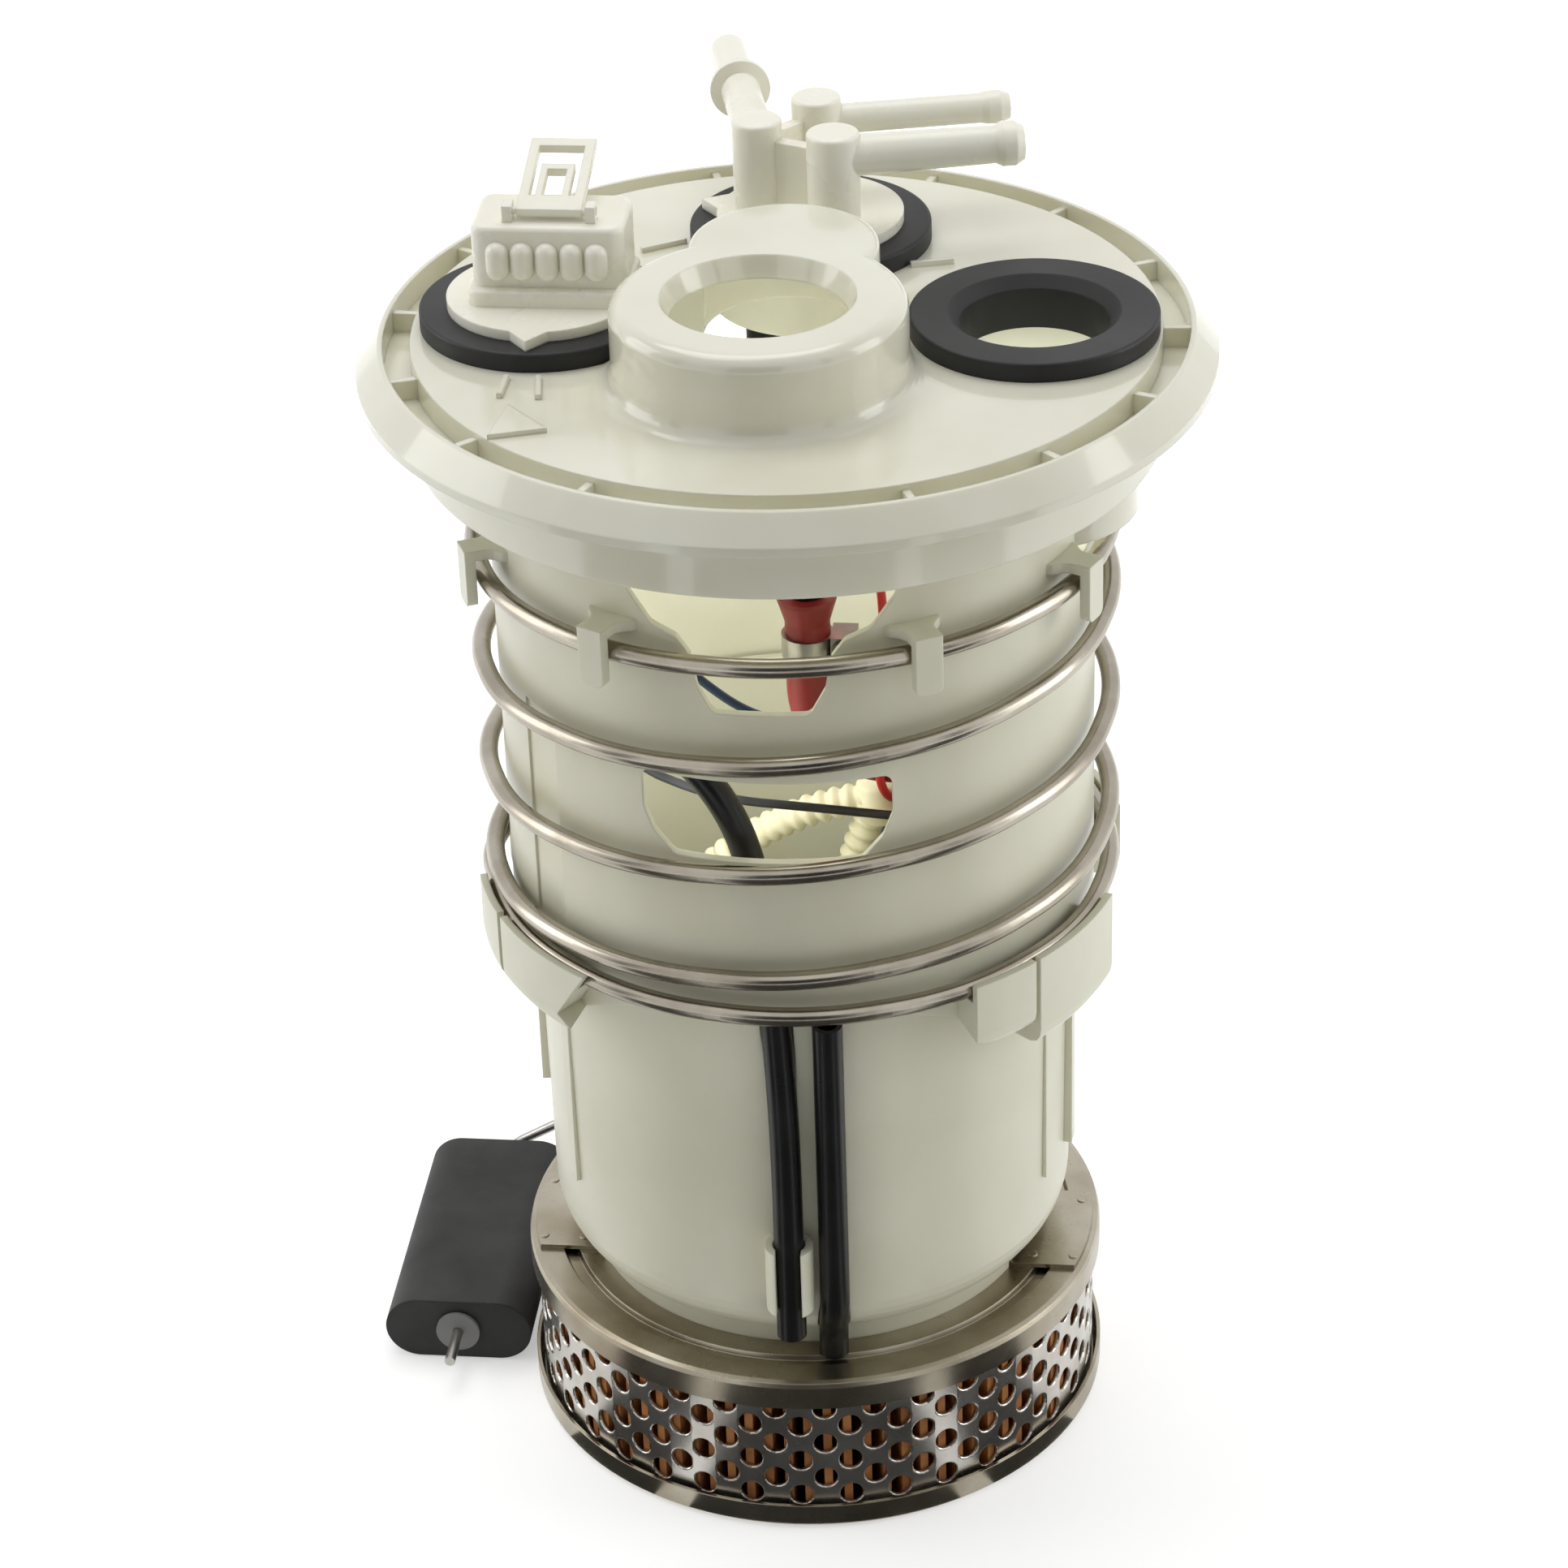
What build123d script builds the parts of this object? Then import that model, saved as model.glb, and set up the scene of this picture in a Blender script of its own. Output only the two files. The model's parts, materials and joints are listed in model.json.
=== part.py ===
from build123d import *
from math import atan2, cos, degrees, hypot, radians, sin, tan
import os

# Fuel pump module, in millimetres. +Z is up, the Z axis is the axis of the canister,
# z = 0 is the underside of the strainer and -Y is the side with the two outside hoses.

# ---- driving dimensions ----
run = 0.3            # clearance between pieces that sit in one another
sheet = 0.8          # steel sheet of the strainer
wall = 2.0           # moulded walls

pan_r = 64.25        # strainer, bottom pan
pan_h = 6.0
plate_r = 64.0       # strainer, top plate
plate_side = 6.7
strainer_h = 39.2
bead_in = 54.0       # pressed groove in the top plate
bead_out = 57.4
bead_depth = 1.1
neck_r = 12.0
neck_h = 9.0
seal_w = 2.2          # round seal on the neck
screen_r = 62.4      # perforated screen, a ring of flats
screen_flats = 72
hole_r = 2.5
hole_pitch = 9.3
hole_rows = 3
pleat_count = 90
pleat_paper = 0.6
core_r = 42.0

cup_r = 57.0         # reservoir cup
cup_top_r = 58.0
cup_h = 110.8
cup_foot_r = 49.0
cup_foot_h = 3.6
cup_round = 14.0
bracket_t = 1.0
bracket_y0 = -19.0
bracket_y1 = 9.0
bracket_in = 44.6
bracket_lip = 6.0

can_r = 62.3         # canister
can_overlap = 31.7   # length of the cup that is inside it
can_h = 136.7
arch_half = 48.0     # arch cut in its lower edge, front and back
arch_rise = 15.7

deck_t = 3.0         # flange
deck_r = 75.7
trough_w = 5.6
trough_depth = 5.4
rim_r = 87.0
rim_top_r = 82.3
rim_drop = 5.5
rim_edge = 1.9
skirt_r = 76.35
skirt_h = 18.5
divider_step = 23.3
collar_x, collar_y = -2.4, -24.7
collar_r = 29.5
collar_h = 17.5
collar_hole_r = 17.8
collar_lip = 4.5
collar_flare = 3.6
boss_x, boss_y = -0.2, 2.0
boss_r = 19.2
shell_wall = 2.5

spare_x, spare_y = 50.0, 0.0
plug_x, plug_y = -49.2, 0.0
port_x, port_y = 0.8, 42.0
grommet_r = 25.2     # rubber grommets
grommet_t = 4.0
grommet_bore = 15.1
grommet_neck = 18.6
grommet_sleeve = 7.0  # rubber below the deck
socket_wall = 2.6
socket_drop = 36.0
port_socket_drop = 10.0

stub_h = 23.5        # moulded pipe fitting, height of its stubs over the grommet
pipe_drop = 5.5      # depth of the pipe axes under the stub tops
barb_turn = 13.3     # the two barbed pipes, degrees from +X towards +Y

coil_r = 65.5        # steel coil, centre line
coil_tube_r = 2.0
coil_bore_r = 1.4
coil_top_z = 215.3
coil_low_z = 134.2
coil_start = -110.0  # degrees clockwise from above, +X is 0 and the front is 90
coil_lap = 1440.0    # where it is level again
coil_end = 1620.0
coil_step = 30.0

hook_w = 5.8
hook_angles = (28.3, 65.6)
hook_tip = 208.0
hook_reach = 8.0
hook_leg = 2.2
gutter_lip = 1.6
slant_angle = 35.0
gutters = (          # from, to, depth, end that is cut at a slant
    (-53.5, -40.5, 12.0, -1), (-39.5, -15.0, 17.0, 0), (-165.0, -151.5, 12.0, 0), (-150.0, -124.5, 12.0, 1),
)

pump_x, pump_y = 32.0, 8.0
pump_r = 19.0
pump_lift = 9.0      # pump over the cup's floor
pump_case_h = 76.0
isolator_t = 1.5
rotor_r = 11.0
shaft_r = 1.5
outlet_r = 3.2

hose_r = 3.15        # hoses and inner pipes
hose_bore_r = 2.1
nipple_r = 2.05
nipple_bore_r = 1.3
feed_r = 3.7
red_r = 4.7
red_x, red_y = 4.2, -15.0
red_top = 204.5
clamp_z = 190.5
vent_angle = -88.5
stand_angle = -79.6
inside_r = 54.0      # radius at which the vent hose runs inside the canister
conv_r = 3.6
port_back = (1.5, 52.2)
port_left = (-9.6, 39.8)
port_front = (6.8, 33.3)

house_x0, house_x1 = -62.5, -31.5     # electrical connector
house_y0, house_y1 = -6.0, 12.0
house_h = 18.5
fit_plate_r = 19.5
fit_plate_t = 2.2
pin_pitch = 5.0
bump_r = 2.35
pins = 5
latch_x = -46.65
latch_y = -1.5
latch_lift = 1.9
latch_lean = 12.3

pivot_x = 8.0        # level sender
pivot_z = 60.6
sender_y = 57.6
wire_r = 1.2         # float arm
wire_ins_r = 0.95    # insulated wires
arm_y = 63.0
arm_start = 3.4
float_x = -81.6
float_z = 8.1
float_w = 33.6
float_t = 15.4
float_y0 = -9.5
float_y1 = 55.0

# ---- levels that follow ----
cup_z = strainer_h
cup_top = cup_z + cup_h
can_z = cup_top - can_overlap
can_top = can_z + can_h
deck_top = can_top + deck_t
deck_under = can_top
seal_top = deck_top + grommet_t
collar_top = deck_top + collar_h
cup_floor = cup_z + cup_foot_h - 0.4 + wall
pump_z0 = cup_floor + pump_lift
pump_top = pump_z0 + pump_case_h
vent_r = cup_r + hose_r + run
stand_foot_r = cup_foot_r + hose_r + 0.9
nipple_z = can_top - 19.0
exit_z = seal_top - 40.0
house_top = seal_top + house_h
latch_z = house_top + latch_lift
sockets = ((spare_x, spare_y, socket_drop), (plug_x, plug_y, socket_drop), (port_x, port_y, port_socket_drop))

BASE = (Align.CENTER, Align.CENTER, Align.MIN)

os.makedirs("parts", exist_ok=True)


# ---- helpers ----
def rod(r, z0, z1, x=0, y=0):
    return Pos(x, y, z0) * Cylinder(r, z1 - z0, align=BASE)


def pipe(r_out, r_in, z0, z1, x=0, y=0):
    return rod(r_out, z0, z1, x, y) - rod(r_in, z0 - 1, z1 + 1, x, y)


def block(x0, x1, y0, y1, z0, z1):
    size = Box(x1 - x0, y1 - y0, z1 - z0, align=(Align.MIN, Align.MIN, Align.MIN))
    return Pos(x0, y0, z0) * size


def spun(points, angle=360.0):
    return revolve(Plane.XZ * Polygon(*points, align=None), Axis.Z, angle)


def polar(r, angle, z=0.0):
    return Vector(r * cos(radians(angle)), r * sin(radians(angle)), z)


def arc_radii(points):
    runs = [(Vector(*b) - Vector(*a)) for a, b in zip(points, points[1:])]
    radii = []
    for first, second in zip(runs, runs[1:]):
        half = radians(first.get_angle(second)) / 2
        radii.append(0.45 * min(first.length, second.length) / tan(half))
    return radii


def bent(points, r_out, r_in=0.0):
    radii = arc_radii(points)
    print("bend radii over the diameter", [round(r / (2 * r_out), 1) for r in radii])
    path = FilletPolyline(*points, radius=radii)
    section = Circle(r_out)
    if r_in:
        section -= Circle(r_in)
    return sweep(Plane(origin=path @ 0, z_dir=path % 0) * section, path=path)


def biggest(shape):
    return max(shape.solids(), key=lambda s: s.volume)


# ---- strainer ----
def bottom_pan():
    corner = 1.2
    outer = [(0, 0), (pan_r - corner, 0), (pan_r, corner), (pan_r, pan_h)]
    inner = [(pan_r - sheet, pan_h), (pan_r - sheet, corner), (pan_r - corner - 0.4, sheet), (0, sheet)]
    return spun(outer + inner)


def top_plate():
    crest = 1.4
    z = strainer_h
    top = [
        (neck_r - sheet, z + neck_h), (neck_r, z + neck_h), (neck_r, z), (bead_in, z),
        (bead_in + 0.5, z - bead_depth), (bead_out - 0.5, z - bead_depth), (bead_out, z),
        (plate_r - crest, z), (plate_r - 0.4, z - 0.4), (plate_r, z - crest), (plate_r, z - plate_side),
    ]
    under = [
        (plate_r - sheet, z - plate_side), (plate_r - sheet, z - crest), (plate_r - crest - 0.4, z - sheet),
        (bead_out + 0.2, z - sheet), (bead_out - 0.3, z - bead_depth - sheet),
        (bead_in + 0.3, z - bead_depth - sheet), (bead_in - 0.2, z - sheet), (neck_r - sheet, z - sheet),
    ]
    return spun(top + under)


def screen():
    z0 = sheet
    z1 = strainer_h - sheet - 0.4
    outer = RegularPolygon(screen_r, screen_flats, major_radius=False)
    inner = RegularPolygon(screen_r - sheet, screen_flats, major_radius=False)
    shell = Pos(0, 0, z0) * extrude(outer - inner, z1 - z0)
    first = (z0 + z1 - hole_pitch * (hole_rows - 0.5)) / 2
    tools = []
    for column in range(screen_flats):
        for row in range(hole_rows):
            z = first + hole_pitch * (row + 0.5 * (column % 2))
            turn = (column + 0.5) * 360 / screen_flats
            drill = Pos(screen_r, 0, z) * Rot(0, 90, 0) * Cylinder(hole_r, 4 * sheet)
            tools.append(Rot(0, 0, turn) * drill)
    return shell - tools


def pleat_outline(r_tip, r_root, grow):
    step = 360 / pleat_count
    points = []
    for k in range(pleat_count):
        base = k * step
        for r, share in ((r_tip, 0.36), (r_tip, 0.64), (r_root, 0.82), (r_root, 1.18)):
            side = grow if 0.5 < share < 1 else -grow
            points.append(polar(r, base + share * step + degrees(side / r)))
    return points


def pleats():
    r_tip = screen_r - sheet - run
    r_root = core_r + sheet + run
    half = pleat_paper / 2
    outer = Polygon(*[(p.X, p.Y) for p in pleat_outline(r_tip, r_root + pleat_paper, half)], align=None)
    inner = Polygon(*[(p.X, p.Y) for p in pleat_outline(r_tip - pleat_paper, r_root, -half)], align=None)
    return Pos(0, 0, sheet) * extrude(outer - inner, strainer_h - bead_depth - 3 * sheet)


def core():
    tube = pipe(core_r + sheet, core_r, sheet, strainer_h - sheet)
    slots = []
    for turn in range(0, 360, 30):
        for z in (10.0, 20.0, 30.0):
            slots.append(Rot(0, 0, turn) * Pos(core_r, 0, z) * Box(4, 9, 4))
    return tube - slots


def bracket(side):
    z = strainer_h
    foot = block(bracket_in, pan_r, bracket_y0, bracket_y1, z, z + bracket_t)
    foot &= rod(plate_r - 1.6, z, z + bracket_t)
    lip = block(bracket_in, bracket_in + bracket_t, bracket_y0, bracket_y1, z, z + bracket_lip)
    solid = foot + lip
    for x, y in ((50.0, bracket_y0 + 3.5), (59.0, bracket_y0 + 3.5), (59.8, bracket_y1 - 3.4)):
        solid += rod(1.0, z + bracket_t, z + bracket_t + 0.25, x, y)
    return solid if side > 0 else mirror(solid, about=Plane.YZ)


# ---- reservoir cup ----
def cup_outline(inset=0.0):
    top = cup_top + (1 if inset else 0)
    centre_z = cup_z + cup_foot_h + cup_round - 0.4
    centre_r = cup_r - cup_round
    arc_r = cup_round - inset
    bottom = [(0, centre_z - arc_r)]
    for angle in range(0, 91, 10):
        bottom.append((centre_r + arc_r * sin(radians(angle)), centre_z - arc_r * cos(radians(angle))))
    return bottom + [(cup_top_r - inset, top), (0, top)]


def clip(angle, r, z0, z1):
    ear = pipe(hose_r + 2.0, hose_r + 0.1, z0, z1)
    ear -= Pos(3.6, 0, z0 - 1) * Box(5, 5.4, z1 - z0 + 2, align=BASE)
    ear += block(-hose_r - 2.4, -hose_r - 0.2, -2.6, 2.6, z0, z1)
    return Rot(0, 0, angle) * Pos(r, 0, 0) * ear


def cup_ribs():
    ribs = []
    for angle, width, reach, low in (
        (-173, 3.4, 1.9, 78.0), (-147, 3.6, 1.0, 68.0), (-22.4, 1.0, 1.0, 66.0), (-7, 3.4, 1.9, 66.0),
        (147, 3.6, 1.0, 68.0), (22.4, 1.0, 1.0, 66.0),
    ):
        rib = block(cup_r - wall / 2, cup_r + reach, -width / 2, width / 2, low, cup_top - 2)
        if width > 3:
            rib += block(cup_r, can_r - wall - run, -width / 2, width / 2, can_z + 1, cup_top - 2)
        ribs.append(Rot(0, 0, angle) * rib)
    return ribs


def cup():
    body = spun(cup_outline())
    for rib in cup_ribs():
        body += rib
    body += rod(cup_foot_r, cup_z, cup_z + cup_foot_h + 6)
    hollow = spun(cup_outline(wall))
    for points in (vent_route, stand_route):
        pad = bent(points, hose_r + run + wall)
        hollow -= pad
    body -= hollow
    body += clip(vent_angle, vent_r, 57.5, 73.5)
    for points in (vent_route, stand_route):
        body -= bent(points, hose_r + run)
    body += rod(neck_r + seal_w + wall, cup_z + 1, cup_z + neck_h + wall)
    body -= rod(neck_r + run, cup_z - 1, cup_z + neck_h + wall + 1)
    body -= pipe(neck_r + seal_w, neck_r - 1, cup_z + neck_h - 5, cup_z + neck_h - 2)
    body += sender_pad()
    for side in (1, -1):
        x0 = bracket_in - run
        slot = block(min(side * x0, side * 64), max(side * x0, side * 64), bracket_y0 - run,
                     bracket_y1 + run, cup_z - 1, cup_z + bracket_lip + run)
        body -= slot
    return biggest(body)


def sender_pad():
    pad = block(pivot_x - 17, pivot_x + 17, 48, sender_y, 52, 108)
    return pad - rod(cup_r - wall / 2, 50, 110)


def neck_seal():
    z = cup_z + neck_h - 3.5
    return Pos(0, 0, z) * Torus(neck_r + seal_w / 2 + 0.05, seal_w / 2 - 0.1)


# ---- hoses ----
vent_route = [
    polar(vent_r, vent_angle, 50.0), polar(vent_r, vent_angle, 108.0),
    polar(inside_r, -92.0, 154.0), polar(inside_r, -99.0, 178.0), polar(inside_r, -122.0, 195.0),
    polar(inside_r, -152.0, 203.0), polar(inside_r, 176.0, 206.0), polar(inside_r, 144.0, 208.0),
    polar(inside_r - 1, 115.0, 214.0), Vector(port_back[0] - 4, port_back[1] - 1, 224.0),
    Vector(*port_back, nipple_z), Vector(*port_back, nipple_z + 8),
]
stand_route = [
    polar(vent_r, stand_angle, 128.5), polar(vent_r, stand_angle, 57.0),
    polar(stand_foot_r, stand_angle, strainer_h + 7), polar(stand_foot_r, stand_angle, strainer_h + run),
]
feed_route = [
    Vector(red_x, red_y, red_top - 12), Vector(red_x, red_y, 214), Vector(red_x - 3, red_y + 14, 226),
    Vector(port_left[0] + 3, 22, 226), Vector(*port_left, nipple_z - 2), Vector(*port_left, nipple_z + 8),
]
red_route = [
    Vector(red_x, red_y, red_top), Vector(red_x, red_y, 176), Vector(13, -10, 163),
    Vector(26, -3, 158), Vector(pump_x, pump_y, 150), Vector(pump_x, pump_y, pump_top + 8.5),
]


def vent_hose():
    return bent(vent_route, hose_r, hose_bore_r)


def standpipe_hose():
    return bent(stand_route, hose_r, hose_bore_r)


def feed_tube():
    return bent(feed_route, feed_r, hose_bore_r)


def red_hose():
    hose = bent(red_route, red_r)
    flare = Pos(red_x, red_y, red_top - 6) * Cone(red_r, 6.2, 5, align=BASE)
    hose += flare + rod(6.2, red_top - 1, red_top, red_x, red_y)
    hose -= rod(feed_r + 0.05, red_top - 12, red_top + 1, red_x, red_y)
    hose -= rod(2.2, red_top - 26, red_top, red_x, red_y)
    hose -= rod(outlet_r + 0.05, pump_top, pump_top + 19, pump_x, pump_y)
    return biggest(hose)


def hose_clamp():
    band = pipe(red_r + 0.75, red_r + 0.05, clamp_z, clamp_z + 5.0, red_x, red_y)
    lug = block(red_x + red_r + 0.3, red_x + red_r + 5.5, red_y - 3.5, red_y + 3.5, clamp_z - 0.4, clamp_z + 5.4)
    lug -= rod(red_r + 0.05, clamp_z - 1, clamp_z + 6, red_x, red_y)
    screw_x = red_x + red_r + 3.2
    lug -= Pos(screw_x, red_y, clamp_z + 2.5) * Rot(90, 0, 0) * Cylinder(1.6, 20)
    return band + lug


def clamp_screw():
    screw_x = red_x + red_r + 3.2
    shank = Pos(screw_x, red_y, clamp_z + 2.5) * Rot(90, 0, 0) * Cylinder(1.5, 9)
    head = Pos(screw_x, red_y - 5.6, clamp_z + 2.5) * Rot(90, 0, 0) * Cylinder(2.6, 2.2)
    slot = Pos(screw_x, red_y - 6.6, clamp_z + 2.5) * Box(6, 1.2, 0.8)
    return shank + head - slot


# ---- canister ----
def window_faces():
    upper = Polygon((-26.3, 246), (-26.3, 227), (-21.5, 220.5), (-16.5, 218.6), (-13.8, 215), (-12.6, 208),
                    (-9.6, 202.5), (9.6, 202.5), (12.6, 208), (13.8, 215), (16.5, 218.6), (21.5, 220.5),
                    (26.3, 227), (26.3, 246), align=None)
    lower = Polygon((-25, 187), (-25, 178), (-23, 173), (-18.8, 168.5), (18.8, 168.5), (23, 173),
                    (25, 178), (25, 187), align=None)
    arch = make_face([
        ThreePointArc((-arch_half, can_z), (0, can_z + arch_rise), (arch_half, can_z)),
        Line((arch_half, can_z), (arch_half, can_z - 5)), Line((arch_half, can_z - 5), (-arch_half, can_z - 5)),
        Line((-arch_half, can_z - 5), (-arch_half, can_z)),
    ])
    return [fillet(upper.vertices(), 1.8), fillet(lower.vertices(), 1.8), arch]


def hook(angle, tip, arm_z):
    reach = can_r + hook_reach
    half = hook_w / 2
    side = [(can_r - 1, half + 3.2), (can_r + 0.8, half + 2.4), (can_r + 2.2, half + 0.8), (can_r + 3.6, half)]
    outline = side + [(reach, half), (reach, -half)] + [(r, -w) for r, w in reversed(side)]
    arm = Pos(0, 0, arm_z) * extrude(Polygon(*outline, align=None), hook_leg, dir=(0, 0, 1))
    leg = block(reach - hook_leg, reach, -half, half, tip, arm_z + hook_leg)
    leg = fillet(leg.edges().filter_by(Axis.X).group_by(Axis.Z)[0], 1.6)
    return Rot(0, 0, angle) * (arm + leg)


def gutter(start, end, drop, slant):
    z = coil_low_z - coil_tube_r - run
    lip_in = coil_r + coil_tube_r + 1.5 * run
    lip_out = lip_in + gutter_lip
    section = [
        (can_r - wall / 2, z - drop), (lip_out - 3.0, z - drop), (lip_out - 1.2, z - drop + 0.8),
        (lip_out - 0.3, z - drop + 2.2), (lip_out, z - drop + 4.0), (lip_out, z + 4.4), (lip_in, z + 4.4),
        (lip_in, z), (can_r - wall / 2, z),
    ]
    body = Rot(0, 0, start) * spun(section, end - start)
    if slant:
        edge = polar(lip_out, end if slant > 0 else start, z + 4.4)
        turn = end if slant > 0 else start
        cut = Rot(0, slant_angle * slant, 0) * Box(14, 24, 30, align=(Align.MIN, Align.CENTER, Align.CENTER))
        cut = cut if slant > 0 else mirror(cut, about=Plane.YZ)
        body -= Pos(edge.X, edge.Y, edge.Z) * Rot(0, 0, turn + 90) * cut
    return biggest(body)


def canister():
    body = pipe(can_r, can_r - wall, can_z, can_top)
    for angle in hook_angles:
        for side in (-90, 90):
            for turn in (side - angle, side + angle):
                body += hook(turn, hook_tip, coil_top_z + 3.2)
    for start, end, drop, slant in gutters:
        body += gutter(start, end, drop, slant)
        body += gutter(start + 180, end + 180, drop, slant)
    for angle in (-146, 141):
        groove = block(can_r - 0.7, can_r + 4, -5.4, 5.4, coil_low_z + 4, 190)
        body -= Rot(0, 0, angle + 5) * groove
    for face in window_faces():
        body -= extrude(Plane.XZ * face, 80, both=True)
    for x, y, drop in sockets:
        body -= rod(grommet_neck + socket_wall + run, deck_under - drop - 4, can_top + 1, x, y)
    return biggest(body)


# ---- flange ----
def socket_bottom(drop):
    return deck_under - drop


def flange():
    low = deck_top - trough_depth
    section = [
        (0, deck_top), (deck_r, deck_top), (deck_r, low), (deck_r + trough_w, low), (deck_r + trough_w, deck_top),
        (rim_top_r, deck_top), (rim_r, deck_top - rim_drop), (rim_r, deck_top - rim_drop - rim_edge),
        (rim_r - 2, low - 2.6), (skirt_r, low - 2.6), (skirt_r, low - 2.6 - skirt_h + 4.7),
        (skirt_r - shell_wall, low - 2.6 - skirt_h + 4.7), (skirt_r - shell_wall, deck_under), (0, deck_under),
    ]
    body = spun(section)
    for k in range(1, 8):
        for angle in (-90 - k * divider_step, -90 + k * divider_step):
            fin = block(deck_r - 1, deck_r + trough_w + 1, -0.8, 0.8, low - 1, deck_top - 1.2)
            body += Rot(0, 0, angle) * fin
    collar = rod(collar_r, deck_under, collar_top, collar_x, collar_y)
    collar = fillet(collar.edges().group_by(Axis.Z)[-1], 3.0)
    boss = rod(boss_r, deck_under, collar_top, boss_x, boss_y)
    boss = fillet(boss.edges().group_by(Axis.Z)[-1], 2.0)
    body += collar + boss + flare()
    body -= rod(collar_r - shell_wall, deck_under - 1, collar_top - collar_lip, collar_x, collar_y)
    body -= rod(boss_r - shell_wall, deck_under - 1, collar_top - collar_lip, boss_x, boss_y)
    hole = Pos(collar_x, collar_y, collar_top - collar_lip - 0.5)
    hole *= Cone(collar_hole_r - 0.5, collar_hole_r + 1.6, collar_lip + 0.51, align=BASE)
    body -= hole
    for x, y, drop in sockets:
        z = socket_bottom(drop)
        body += rod(grommet_neck + socket_wall, z, deck_under + 1, x, y)
    for x, y, drop in sockets:
        body -= rod(grommet_neck, socket_bottom(drop) - 1, deck_top + 1, x, y)
    body -= rod(grommet_r + run, deck_top, collar_top + 1, port_x, port_y) - rod(boss_r, 0, 400, boss_x, boss_y)
    for x0, y0, x1, y1 in ((22.8, 28.2, 31.5, 30.5), (-33.8, 33.1, -25.1, 38.4),
                           (-52.4, -28.0, -52.6, -36.8), (-46.1, -28.0, -44.8, -37.1)):
        body += deck_rib(x0, y0, x1, y1)
    mark = Polygon((-50.2, -41.0), (-52.1, -54.8), (-41.0, -51.2), align=None)
    body += Pos(0, 0, deck_top - 0.5) * extrude(mark, 1.5)
    return biggest(body)


def flare():
    points = [(collar_r - 1, deck_top - 0.5), (collar_r + collar_flare, deck_top - 0.5)]
    for angle in range(0, 91, 15):
        r = collar_r + collar_flare * (1 - sin(radians(angle)))
        points.append((r, deck_top + collar_flare * (1 - cos(radians(angle)))))
    points.append((collar_r - 1, deck_top + collar_flare))
    ring = Pos(collar_x, collar_y, 0) * spun(points)
    for x, y in ((plug_x, plug_y), (port_x, port_y)):
        ring -= rod(grommet_r + run, deck_top, collar_top, x, y)
    return ring


def deck_rib(x0, y0, x1, y1):
    length = hypot(x1 - x0, y1 - y0)
    turn = degrees(atan2(y1 - y0, x1 - x0))
    return Pos(x0, y0, deck_top - 0.5) * Rot(0, 0, turn) * Box(length, 1.2, 1.6, align=(Align.MIN, Align.CENTER, Align.MIN))


def grommet(x, y):
    low = deck_top - grommet_sleeve
    body = rod(grommet_r, deck_top, seal_top, x, y)
    body = fillet(body.edges().group_by(Axis.Z)[-1], 0.6)
    body += rod(grommet_neck - 0.05, low, deck_top, x, y)
    body -= rod(grommet_bore, low - 1, seal_top + 1, x, y)
    body -= Pos(x, y, seal_top - 2.4) * Cone(grommet_bore, grommet_bore + 2.4, 2.41, align=BASE)
    body -= rod(boss_r + run, deck_top - 0.01, collar_top, boss_x, boss_y)
    body -= rod(collar_r + run, deck_top - 0.01, collar_top, collar_x, collar_y)
    return body


# ---- electrical connector ----
def pointer(x, y, angle):
    tip = Polygon((0, -4.0), (5.0, 0), (0, 4.0), align=None)
    z = seal_top
    return Pos(x, y, z) * Rot(0, 0, angle) * Pos(fit_plate_r - 0.6, 0, 0) * extrude(tip, fit_plate_t)


def housing():
    z = seal_top
    body = rod(fit_plate_r, z, z + fit_plate_t, plug_x, plug_y) + pointer(plug_x, plug_y, -90)
    body += rod(grommet_bore - 0.1, z - 40, z, plug_x, plug_y)
    shell = block(house_x0, house_x1, house_y0, house_y1, z + 1, house_top)
    shell = fillet(shell.edges().filter_by(Axis.Z), 3.0)
    shell = fillet(shell.edges().group_by(Axis.Z)[-1], 1.5)
    ledge = block(house_x0 - 1, house_x1 + 1, house_y0 - 2.4, house_y1 + 0.6, z + 1, z + 5.6)
    ledge = fillet(ledge.edges().filter_by(Axis.Z), 3.4)
    body += shell + fillet(ledge.edges().group_by(Axis.Z)[-1], 1.0)
    mid = (house_x0 + house_x1) / 2
    for k in range(pins):
        x = mid + (k - (pins - 1) / 2) * pin_pitch
        body += rod(bump_r, z + 9.6, z + 13.1, x, house_y0)
        for end in (z + 9.6, z + 13.1):
            body += Pos(x, house_y0, end) * Sphere(bump_r)
    mouth = block(house_x0 + 2.2, house_x1 - 2.2, house_y1 - 12, house_y1 + 1, z + 5.0, house_top - 2.4)
    body -= mouth
    body -= rod(grommet_bore - 2.2, z - 41, z - 6, plug_x, plug_y)
    body += latch_lugs()
    return body


def latch_lugs():
    lugs = Part()
    for x in (latch_x - 8.4, latch_x + 8.4):
        lug = block(x - 1.0, x + 1.0, latch_y - 1.8, latch_y + 1.8, house_top - 0.5, latch_z + 1.5)
        lugs += lug - Pos(x, latch_y, latch_z) * Rot(0, 90, 0) * Cylinder(0.86, 4)
    return lugs


def latch():
    t = 1.8
    leg = 2.0
    half = 6.65
    far = 23.6
    frame = Part()
    for x in (-half, half - leg):
        frame += block(x, x + leg, -0.9, far, -0.9, t - 0.9)
    frame += block(-half, half, far - 2.6, far, -0.9, t - 0.9)
    frame += block(-half, half, -0.9, 4.0, -0.9, t - 0.9)
    for x in (-3.4, 2.0):
        frame += block(x, x + 1.4, 3.5, 14.5, -0.9, t - 0.9)
    frame += block(-3.4, 3.4, 13.0, 14.8, -0.9, t - 0.9)
    frame += Rot(0, 90, 0) * Cylinder(0.8, 18.4)
    return Pos(latch_x, latch_y, latch_z) * Rot(latch_lean, 0, 0) * frame


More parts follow.
